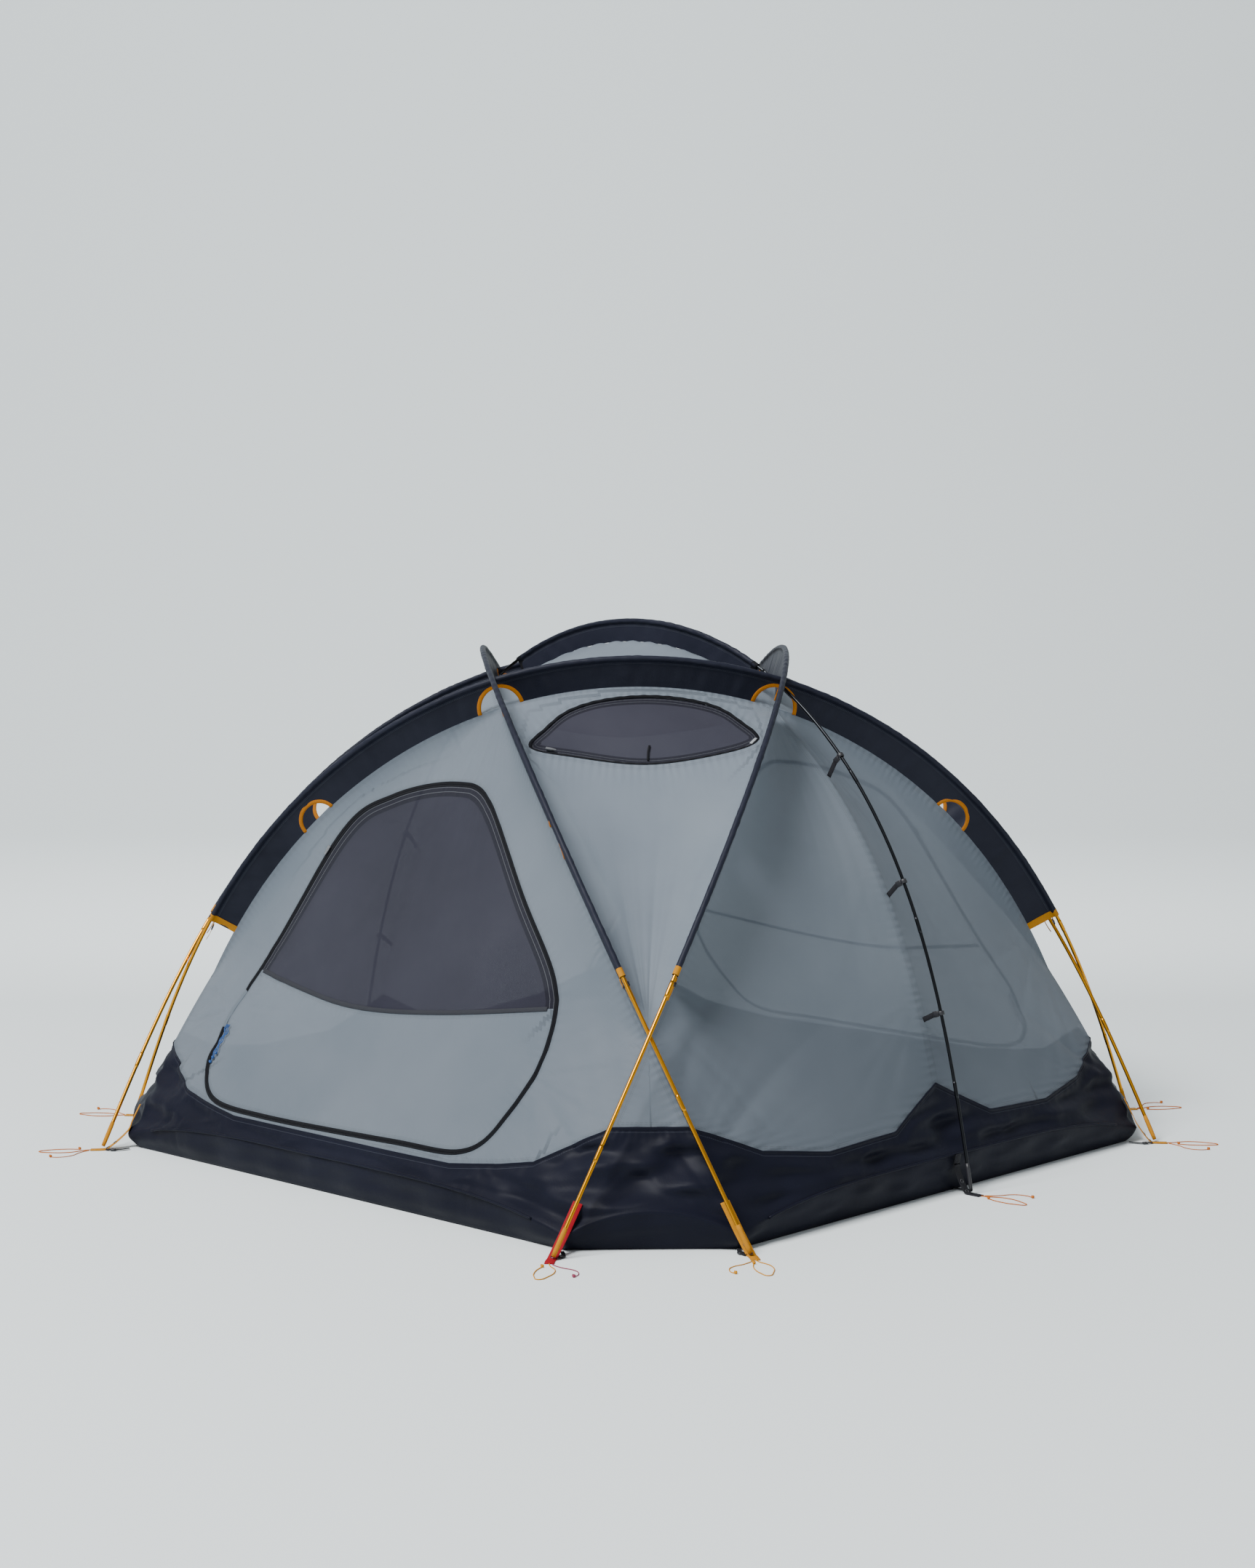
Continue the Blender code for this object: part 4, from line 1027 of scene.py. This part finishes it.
def makeVent(grid, name, run, off):
    screen = sheetMesh(f"vent_mesh_{name}", grid * vent["meshScale"], (run, -off * 2), [(off, -1)])
    # The vent screen gets the mesh cloth painted lighter: painted light.
    placeSheet(screen, "paintedLightVentMesh", "tent", f"vent_{name}")
    tree = treeOf(grid)
    sign = 1 if name == "front_right" else -1
    out, across = np.array([1, -1]) * sign / np.sqrt(2), np.array([1, 1]) * sign / np.sqrt(2)
    closed = np.concatenate([ventOutline, ventOutline[:1]])
    half = vent["cornerPoint"]
    for part, line, size in (("brow", closed[:half + 1], vent["brow"]), ("zip", closed[half:], vent["zip"])):
        places, normals = onSurface(tree, evenly(line, 0.006), across, out, vent["base"])
        ripple = vent["ripple"] * (1 + np.sin(np.arange(len(places)) * 1.1)[:, None])
        addStrip(f"vent_{part}_{name}", places + normals * ripple, normals, size, "zip")
    for part, line, look in (("loop", vent["loopLine"], "zip"), ("tab", vent["tabLine"], "thread")):
        places, normals = onSurface(tree, evenly(np.array(line), 0.004), across, out, vent["base"])
        addStrip(f"vent_{part}_{name}", places + normals * 0.002, normals, vent[part], look)


for quarter, name in enumerate(cornerNames):
    makeCorner(quarter, name)
crown = sheetMesh("canopy_crown", crownFolded, (crownRun, crownOff))
# The crown gets the canopy cloth painted 14% lighter: painted light.
placeSheet(crown, "paintedLightCanopy", "tent", "crown")
print("corners and crown made")


# ---- tub floor
tub = {"rows": 26, "lowRows": 12, "floorRings": 10, "bulge": 0.006, "ripple": 0.005, "pipe": 0.0036,
       "pipeInset": 10, "folds": 0.0095, "floorLift": 0.0008,
       "seam": {"width": 0.009, "thickness": 0.0018, "lift": 0.0008}}


def columnPart(grid, heights, count):
    # Each column from the place at its height down to its last row.
    rows = np.arange(len(grid))
    out = []
    for j in range(grid.shape[1]):
        column = grid[:, j]
        order = np.argsort(column[:, 2])
        start = np.interp(heights[j], column[order, 2], rows[order])
        at = np.linspace(start, len(grid) - 1, count)
        out.append(np.column_stack([np.interp(at, rows, column[:, k]) for k in range(3)]))
    return np.array(out).swapaxes(0, 1)


def tubWall():
    # The wall all round, from its top edge down to the crease, with crumpled folds.
    u = np.linspace(-1, 1, doorWall.shape[1])
    parts = []
    for quarter in range(4):
        ridged = quarter % 2 == 0
        side = columnPart(sideWall if ridged else doorWall, tubTop(u, ridged), tub["rows"])
        corner = columnPart(lowerFolded, np.full(lowerFolded.shape[1], canopy["cornerTop"]), tub["rows"])
        parts += [turned(side, quarter)[:, :-1], turned(corner, quarter)[:, :-1]]
    ring = np.concatenate([*parts, parts[0][:, :1]], axis=1)
    around, height = steps(ring[-1])[None, :] + 0 * ring[..., 2], ring[..., 2]
    broad = np.stack([around, 3.2 * height + 0.25 * around, 0 * around], axis=-1)
    sharp = np.stack([around * 0.8, 2.0 * height - 0.2 * around, 0 * around], axis=-1)
    folds = buckles(broad, 61, 0.17, tub["folds"]) - np.abs(buckles(sharp, 63, 0.2, tub["folds"] * 1.6))
    below, above = (np.linalg.norm(ring - row, axis=-1) for row in (ring[:1], ring[-1:]))
    folds *= eased(below / 0.05) * (0.25 + 0.75 * eased(above / 0.03))
    return ring + units(ring * [1, 1, 0.4]) * folds[..., None]


def tubBase(crease):
    # From the crease in to the floor's edge, then flat to the middle.
    flatX, flatY = np.abs(crease[:, 0]), np.abs(crease[:, 1])
    half, corner = canopy["floorHalf"], canopy["floorCorner"]
    reach = np.maximum(np.maximum(flatX, flatY), (flatX + flatY) * half / (half + corner))
    edge = crease * [1, 1, 0] * half / reach[:, None] + [0, 0, tub["floorLift"]]
    low = []
    for t in np.linspace(0, 1, tub["lowRows"] + 1)[1:]:
        row = crease * (1 - t) + edge * t
        wave = tub["bulge"] + buckles(row * [1, 1, 3], 51, 0.13, tub["ripple"])
        low.append(row + units(row * [1, 1, 0]) * (wave * np.sin(pi * t))[:, None])
    return low + [edge * [s, s, 1] for s in np.linspace(1, 0, tub["floorRings"] + 1)[1:]]


def makeTub():
    ring = tubWall()
    grid = np.concatenate([ring, tubBase(ring[-1])])
    run = np.broadcast_to(steps(ring[-1]), grid.shape[:2])
    mesh = sheetMesh("tub_skin", grid, (run, np.linalg.norm(grid - ring[:1], axis=-1)))
    placeSheet(mesh, "tub", "tent", "tub_floor")
    addStrip("tub_top_seam", ring[0], units(ring[0] * [1, 1, 0.3]), tub["seam"], "tub")
    for quarter in range(4):
        side = turned(doorWall if quarter % 2 else sideWall, quarter)[-1]
        line = side[tub["pipeInset"]:-tub["pipeInset"]]
        out = units(line * [1, 1, 0])
        line = line + out * buckles(line, 70 + quarter, 0.3, 0.002)[:, None]
        line = line + units(line * [1, 1, 0]) * 0.001
        piping = tubeMesh(f"tub_piping_{quarter + 1}", line, tub["pipe"], 8)
        addPiece(piping.name, piping, "tub")


makeTub()
print("tub made")


# ---- poles
poleLook = {"ferruleGap": 0.44, "ferruleLength": 0.045, "ferruleRise": 0.0006, "lowest": 0.006,
            "tipRise": (0.0004, 0.0009, 0.0009, 0.0009, 0.0007, 0)}


def makePole(name, places, radius, look):
    points = evenly(places[places[:, 2] > poleLook["lowest"]], 0.012)
    tube = addPiece(f"tube_{name}", tubeMesh(f"tube_{name}", points, radius, 20), look)
    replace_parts(tube, name)
    run = steps(points)
    rings = []
    half = poleLook["ferruleLength"] / 2
    swell = radius + poleLook["ferruleRise"] * np.array([0.2, 1, 1, 1, 1, 1, 0.2])
    for at in np.arange(poleLook["ferruleGap"] * 0.6, run[-1] - 0.1, poleLook["ferruleGap"]):
        spot = np.linspace(at - half, at + half, len(swell))
        line = np.column_stack([np.interp(spot, run, points[:, k]) for k in range(3)])
        rings.append(tubeMesh("ring", line, swell, 20))
    collars = joined(f"ferrules_{name}", rings)
    addPiece(collars.name, collars, look)
    for end, inner, part in ((0, 6, "start"), (-1, -7, "foot")):
        line = np.linspace(points[inner], points[end], 6)
        cap = tubeMesh(f"tip_{name}_{part}", line, radius + np.array(poleLook["tipRise"]), 20)
        addPiece(cap.name, cap, "clip" if look == "black" else "goldWebbing")


fullReach = np.linspace(-1, 1, 801)
for key in arches:
    makePole(f"pole_{key}", archPoints(key, fullReach), pole["goldRadius"], "gold")
makePole("pole_ridge", alongCurve(ridge, fullReach), pole["ridgeRadius"], "black")
print("poles made")


# ---- sleeves
sleeve = {"pocket": 0.0074, "web": 0.0012, "edgeLift": -0.002, "wrinkle": 0.0011, "window": 0.465,
          "windowHalf": 0.06, "windowRise": 0.052, "crossingHalf": 0.065, "crossingGap": 0.012,
          "ripple": 0.0016, "band": 0.02, "bandGrow": 0.0009, "crownPocket": 0.0068, "crownEnd": 0.235,
          "tail": 0.04, "tailDrop": 0.0125, "tailSize": {"width": 0.012, "thickness": 0.0012},
          "buckleSize": {"width": 0.017, "thickness": 0.0042}, "binding": 0.0058, "bindingDip": 0.004}


def sleeveGrid(centre, edge, pocket, seed, grow=0.0, drop=1.0):
    # Keyhole sections: up one side of the web, round the pole and down the other side.
    ahead = units(np.gradient(centre, axis=0))
    down = edge - centre
    down = down - np.sum(down * ahead, axis=1, keepdims=True) * ahead
    depth = np.linalg.norm(down, axis=1, keepdims=True)
    down = down / depth
    side = np.cross(ahead, down)
    rng = np.random.default_rng(seed)
    run = steps(centre)
    rows = []
    half = sleeve["web"] / 2 + grow
    radius = pocket + grow
    webs = np.linspace(1, 0, 9)[:-1]
    turn = np.linspace(0.35, 2 * pi - 0.35, 17)
    waves = [(rng.uniform(0, 6.3), 2 * pi / rng.uniform(0.03, 0.12), rng.uniform(-2, 2)) for _ in range(7)]

    def wrinkle(angle):
        return sum(np.sin(run * k + phase + slant * angle) for phase, k, slant in waves)[:, None] / 4

    ripple = wrinkle(0) * sleeve["ripple"]
    for sign, order in ((1, webs), (-1, webs[::-1])):
        if sign < 0:
            for a in turn:
                rise = radius + sleeve["wrinkle"] * np.abs(wrinkle(a)) * (0 if grow else 1)
                rows.append(centre + rise * (cos(a) * down + sin(a) * side))
        for t in order:
            place = centre + down * (radius * 0.94 + (depth * drop - radius * 0.94) * t)
            rows.append(place + side * (half * sign + ripple * np.sin(pi * t)))
    grid = np.stack(rows, axis=1)
    below = np.stack([np.sum((edge - row) * down, axis=1) for row in rows], axis=1)
    return grid, run, below


def makeSleeve(name, centreOf, edgeOf, end, pocket, windows, seed):
    at = np.linspace(-end, end, 421)
    centre, edge = centreOf(at), edgeOf(at)
    grid, run, below = sleeveGrid(centre, edge, pocket, seed)
    cuts = []
    for place, half, rise in windows:
        middle = np.interp(place, at, run)
        high = np.maximum(below + sleeve["bindingDip"], 0) / rise
        field = ((run[:, None] - middle) / half) ** 2 + high ** 2 - 1
        cuts.append((field, 1))
    fromPole = np.linalg.norm(grid - centre[:, None], axis=-1)
    mesh = sheetMesh(f"{name}_cloth", grid, (np.broadcast_to(run[:, None], below.shape), fromPole), cuts)
    piece = addPiece(mesh.name, mesh, "sleeve")
    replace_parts(piece, name)
    # The bands that close each end round the pole.
    for i, (low, high) in enumerate(((-end, -end + sleeve["band"] / 2), (end - sleeve["band"] / 2, end))):
        spot = np.linspace(low, high, 6)
        band, _, _ = sleeveGrid(centreOf(spot), edgeOf(spot), pocket, seed, sleeve["bandGrow"], 1.02)
        mesh = gridMesh(f"{name}_band_{i + 1}", band, faceOut)
        addPiece(mesh.name, mesh, "goldWebbing" if len(windows) else "zip")
        if windows:
            makeTail(f"{name}_tail_{i + 1}", centreOf, edgeOf, end if i else -end)
    for i, (place, half, rise) in enumerate(windows):
        middle = float(np.interp(place, at, run))
        makeBinding(f"{name}_binding_{i + 1}", centre, edge, run, middle, half, rise)


def makeTail(name, centreOf, edgeOf, end):
    # A strap tail that hangs beside the pole below its sleeve, through a small buckle.
    at = np.linspace(end, end * (1 + sleeve["tail"]), 12)
    centre, edge = centreOf(at), edgeOf(at)
    down = units(edge - centre)
    ahead = units(np.gradient(centre, axis=0))
    side = np.cross(ahead, down)
    sway = np.sin(np.linspace(0, 2.4, 12))[:, None] * 0.004
    line = centre + down * (sleeve["tailDrop"] + sway) + side * 0.002
    addStrip(name, line, down, sleeve["tailSize"], "goldWebbing")
    addStrip(f"{name}_buckle", line[2:5], down[2:5], sleeve["buckleSize"], "clip")


def makeBinding(name, centre, edge, run, middle, half, rise):
    angle = np.linspace(0.06, pi - 0.06, 25)
    spot = middle - np.cos(angle) * half
    high = np.sin(angle) * rise - sleeve["bindingDip"]
    sewn, rod = (np.column_stack([np.interp(spot, run, row[:, k]) for k in range(3)])
                 for row in (edge, centre))
    points = evenly(sewn + units(rod - sewn) * high[:, None], 0.004)
    face = unit(np.cross(rod[-1] - rod[0], sewn[12] - rod[12]))
    mesh = tubeMesh(name, points, sleeve["binding"], 12, 0.4, np.tile(face, (len(points), 1)))
    addPiece(name, mesh, "binding")


def makeSleeves():
    for seed, key in enumerate(arches):
        lean = np.array([*arches[key][0], 1])
        windows = []
        for place in (-sleeve["window"], axisAt, -axisAt, sleeve["window"]):
            half, rise = sleeve["windowHalf"], sleeve["windowRise"]
            if abs(place) < sleeve["window"]:
                centre = archPoints(key, np.array([place]))[0]
                low = alongCurve(arch, np.array([place]))[0] * lean * canopy["seam"]
                half, rise = sleeve["crossingHalf"], np.linalg.norm(low - centre) - sleeve["crossingGap"]
            windows.append((place, half, rise))

        def edgeOf(at, lean=lean):
            line = alongCurve(arch, at) * lean * canopy["seam"]
            return line + sleeve["edgeLift"] * units(line)

        makeSleeve(f"sleeve_{key}", lambda at, key=key: archPoints(key, at), edgeOf, sleeveEnd,
                   sleeve["pocket"], windows, seed)
    makeSleeve("sleeve_crown", lambda at: alongCurve(ridge, at),
               lambda at: alongCurve(ridge, at) / pole["ridgeScale"] * canopy["crownSeam"] - [0, 0, 0.003],
               sleeve["crownEnd"], sleeve["crownPocket"], [], 9)


makeSleeves()
print("sleeves made")


# ---- clips on the ridge pole
clip = {"places": (0.414, 0.60, 0.772), "reach": 0.0078, "strap": {"width": 0.014, "thickness": 0.0014},
        "hookWidth": 0.011, "hookThickness": 0.0026, "lugWidth": 0.016, "lugThickness": 0.004}


def makeClip(name, place):
    pair = alongCurve(ridge, np.array([-0.004, 0.004]) - place)
    centre, ahead = pair.mean(axis=0), unit(pair[1] - pair[0])
    edge = centre / pole["ridgeScale"] * canopy["seam"] + 0.003 * unit(centre)
    down = unit((edge - centre) - np.dot(edge - centre, ahead) * ahead)
    across = np.cross(ahead, down)
    angle = np.linspace(0.45, 2 * pi - 0.9, 19)
    ring = centre + clip["reach"] * (np.cos(angle)[:, None] * down + np.sin(angle)[:, None] * across)
    hook = strip(f"{name}_hook", ring, units(ring - centre), clip["hookWidth"], clip["hookThickness"])
    stem = np.linspace(centre + down * 0.008, centre + down * 0.026, 5)
    lug = strip("lug", stem, np.tile(across, (5, 1)), clip["lugWidth"], clip["lugThickness"])
    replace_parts(addPiece(f"{name}_hook", joined(f"{name}_hook", [hook, lug]), "clip"), name)
    strap = np.linspace(centre + down * 0.022, edge, 8)
    addStrip(f"{name}_strap", strap, np.tile(across, (8, 1)), clip["strap"], "blackWebbing")


for side, sideName in ((1, "right"), (-1, "left")):
    for i, place in enumerate(clip["places"]):
        makeClip(f"clip_{sideName}_{i + 1}", side * place)


# ---- feet: webbing tabs, grommets and stake loops
foot = {"tab": {"width": 0.024, "thickness": 0.0018}, "top": 0.115, "out": 0.03, "in": 0.012,
        "climbLift": 0.006, "eyeletsAt": (0.05, 0.075), "eyelet": 0.0048, "eyeletRim": 0.0013,
        "cord": 0.00125, "tailShare": 0.9, "knot": 0.0034, "knotLift": 0.8,
        "strap": {"width": 0.010, "thickness": 0.0014}, "buckle": {"width": 0.016, "thickness": 0.005}, "strapBeside": 0.014}
cordRoute = [(0, 0), (0.02, 0.006), (0.05, 0.022), (0.085, 0.024), (0.12, 0.013), (0.136, 0.006),
             (0.141, -0.003), (0.135, -0.011), (0.118, -0.016), (0.095, -0.021), (0.06, -0.020),
             (0.03, -0.012)]
tailRoute = [(0.004, 0.008), (0.018, 0.020), (0.034, 0.040), (0.045, 0.062), (0.064, 0.078), (0.090, 0.082),
             (0.108, 0.074)]
footLooks = {"front_right_y": ("redWebbing", "yellowCord"), "front_left_x": ("goldWebbing", "orangeCord"),
             "front_right_x": ("goldWebbing", "yellowCord"), "left": ("blackWebbing", "orangeCord"),
             "right": ("blackWebbing", "orangeCord")}


def ringMesh(name, at, normal, radius, thickness):
    angle = np.linspace(0, 2 * pi, 25)
    a = unit(np.cross(normal, (0.3, 0.8, 0.5)))
    b = np.cross(normal, a)
    line = at + radius * (np.cos(angle)[:, None] * a + np.sin(angle)[:, None] * b)
    return tubeMesh(name, line, thickness, 8)


def makeFoot(name, tip, climb, side):
    webbing, cordLook = footLooks.get(name, ("goldWebbing", "orangeCord"))
    ground = tip * [1, 1, 0]
    out = unit(ground)
    turn = np.array([-out[1], out[0], 0])
    lean = -1 if "x" in name else 1
    makeTab(f"tab_{name}", ground, out, climb, side, webbing)
    exit = ground + out * (foot["out"] + 0.0003 + foot["cord"] * 0.2) + [0, 0, foot["cord"] + 0.0004]

    def laid(route, lean):
        return smoothThrough([exit + out * a + turn * b * lean for a, b in route], 4)

    tiedCord(f"cord_{name}_loop", f"cord_{name}_knot", laid(cordRoute, 1), foot["cord"], cordLook,
             f"cord_{name}")
    tailLook = "plumCord" if name == "front_right_y" else cordLook
    tiedCord(f"cord_{name}_tail", f"cord_{name}_tail_knot", laid(tailRoute, lean),
             foot["cord"] * foot["tailShare"], tailLook)
    # The strap that ties the foot to the floor's corner.
    inner = ground - out * foot["in"]
    reach = [inner + [0, 0, 0.0045], inner - out * 0.03 + turn * 0.008 * lean + [0, 0, 0.0035],
             inner - out * 0.065 + [0, 0, 0.0045]]
    line = evenly(smoothThrough(reach, 6), 0.004) + turn * foot["strapBeside"] * lean
    ups = np.tile([0.0, 0, 1], (len(line), 1))
    addStrip(f"strap_{name}", line, ups, foot["strap"], "blackWebbing")
    addStrip(f"strap_{name}_buckle", line[4:8], ups[4:8], foot["buckle"], "clip")


def makeTab(name, ground, out, climb, side, webbing):
    # Webbing that lies under the pole's tip and climbs the seam, with eyelets for the tip.
    thickness = foot["tab"]["thickness"]
    up = np.array([0, 0, thickness])
    points = [ground + out * foot["out"] + up, ground - out * foot["in"] + up]
    points += [p + unit(p) * foot["climbLift"] for p in climb]
    line = evenly(smoothThrough(points, 6), 0.005)
    line[:, 2] = np.maximum(line[:, 2], thickness)
    ups = np.cross(np.tile(side, (len(line), 1)), units(np.gradient(line, axis=0)))
    ups *= np.where(ups[:, 2:] < 0, -1, 1)
    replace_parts(addStrip(f"{name}_webbing", line, ups, foot["tab"], webbing), name)
    run = steps(line)
    for i, at in enumerate(foot["eyeletsAt"]):
        k = int(np.argmin(np.abs(run - at)))
        eyelet = ringMesh(f"{name}_eyelet_{i + 1}", line[k] + ups[k] * 0.0014, ups[k], foot["eyelet"],
                          foot["eyeletRim"])
        addPiece(eyelet.name, eyelet, "grommet")


def makeKnot(name, at, look, body):
    centre = np.array(at) + [0, 0, foot["knot"] * foot["knotLift"]]
    bm = bmesh.new()
    bmesh.ops.create_icosphere(bm, subdivisions=3, radius=foot["knot"])
    bmesh.ops.scale(bm, vec=(1.25, 1.0, 0.85), verts=bm.verts)
    bmesh.ops.translate(bm, vec=Vector(centre), verts=bm.verts)
    ball = bpy.data.meshes.new(name)
    bm.to_mesh(ball)
    bm.free()
    turns = [ringMesh("turn", centre + [d, 0, 0], unit(np.array([1.0, w, 0.2])), foot["knot"] * 0.9, 0.0011)
             for d, w in ((-0.0018, 0.5), (0.0018, -0.4))]
    return addPiece(name, joined(name, [ball, *turns]), look, body)


def cordPiece(name, route, radius, look, body):
    curve = bpy.data.curves.new(name, "CURVE")
    curve.dimensions = "3D"
    curve.bevel_depth = radius
    curve.bevel_resolution = 3
    curve.use_fill_caps = True
    spline = curve.splines.new("POLY")
    spline.points.add(len(route) - 1)
    for target, place in zip(spline.points, route):
        target.co = (*place, 1)
    return addPiece(name, curve, look, body)


def tiedCord(name, knotName, route, radius, look, node=None, body="tent"):
    # A limp cord with a knot at its far end.
    cord = cordPiece(name, route, radius, look, body)
    if node:
        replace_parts(cord, node)
    knot = makeKnot(knotName, route[-1], look, body)
    tuple(route[0])
    float(steps(route)[-1])


def makeFeet():
    at = np.linspace(-1, cornerAt, 600)
    heights = np.array([canopy["seamLow"] + 0.004, 0.075, foot["top"]])
    climb = seamPoints(np.interp(heights, seamPoints(at)[:, 2], at))
    for key, (lean, _) in arches.items():
        for end in (-1, 1):
            tip = archPoints(key, np.array([end * 1.0]))[0]
            rise = climb[:, [1, 0, 2]] if end > 0 else climb
            facing = "y" if abs(tip[1]) > abs(tip[0]) else "x"
            name = f"{'back' if tip[1] > 0 else 'front'}_{'right' if tip[0] > 0 else 'left'}_{facing}"
            out = unit(tip * [1, 1, 0])
            makeFoot(name, tip, rise * np.array([*lean, 1]), np.array([-out[1], out[0], 0]))
    climb = np.array([(canopy["creaseHalf"], 0, 0.06), (canopy["creaseHalf"] + 0.004, 0, 0.1)])
    for side, name in ((1, "right"), (-1, "left")):
        mirror = np.array([side, 1, 1])
        makeFoot(name, ridge[1][0] * mirror, climb * mirror, np.array([0.0, 1, 0]))


makeFeet()
for name, (quarter, sign) in doors.items():
    makePulls(name, quarter, sign)
print("clips, feet and pulls made")

# ---- sliders keep the frame's shape
for name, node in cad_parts.items():
    if name.startswith("slider"):
        node.data.materials.clear()
        node.data.materials.append(finish["metal"][0])


# ---- stage and light
stage = {"paper": (0.772, 0.826, 0.836), "world": (0.93, 0.965, 1.0), "worldPower": 0.43,
         "front": -30.0, "level": -8.0, "back": 9.0, "bend": 7.0, "height": 16.0, "half": 30.0}
# The key stands in front and above; the back light's distances run along the view.
lamps = {"key": {"place": (-0.4, -12.0, 16.5), "aim": (0, 0, 0.5), "power": 6700, "size": 8.0},
         "backLight": {"away": 3.0, "height": 5.5, "aimAway": 15.0, "aimHeight": 4.0, "power": 430,
                       "size": 6.0}}


def makeSweep(away):
    # A paper sweep that runs level under the tent and curves up behind it.
    angle = np.linspace(-pi / 2, 0, 25)
    back, bend = stage["back"], stage["bend"]
    rise = np.column_stack([back + bend * np.cos(angle), bend * (1 + np.sin(angle))])
    profile = [(stage["front"], 0.0), (stage["level"], 0.0), *rise, (back + bend, stage["height"])]
    side = np.array([away[1], -away[0], 0])
    line = np.array([away * d + [0, 0, h] for d, h in profile])
    grid = np.stack([line + side * w for w in np.linspace(-stage["half"], stage["half"], 5)], axis=1)
    mesh = gridMesh("stage_floor", grid)
    floor = bpy.data.objects.new("stage_floor", mesh)
    bpy.context.scene.collection.objects.link(floor)
    paper = Mat("stagePaper")
    paper.shader.inputs["Base Color"].default_value = (*stage["paper"], 1)
    paper.sett(Roughness=0.95, Specular_IOR_Level=0.1)
    mesh.materials.append(paper.mat)
    return floor


def makeLamp(name, place, aim, power, size):
    data = bpy.data.lights.new(name, "AREA")
    data.energy = power
    data.size = size
    lamp = bpy.data.objects.new(name, data)
    bpy.context.scene.collection.objects.link(lamp)
    lamp.location = place
    lamp.rotation_euler = (Vector(aim) - Vector(place)).to_track_quat("-Z", "Y").to_euler()
    return lamp


def makeStage():
    away = unit((np.array(view["target"]) - np.array(view["place"])) * [1, 1, 0])
    world = bpy.data.worlds.new("studio")
    bpy.context.scene.world = world
    world.use_nodes = True
    background = world.node_tree.nodes["Background"]
    background.inputs["Color"].default_value = (*stage["world"], 1)
    background.inputs["Strength"].default_value = stage["worldPower"]
    floor = makeSweep(away)
    keyLamp = makeLamp("key", **lamps["key"])
    back = lamps["backLight"]
    # It lights only the paper, from behind the tent.
    backLamp = makeLamp("backLight", away * back["away"] + [0, 0, back["height"]],
                        away * back["aimAway"] + [0, 0, back["aimHeight"]], back["power"], back["size"])
    backLamp.visible_camera = False


makeStage()
print("stage made")
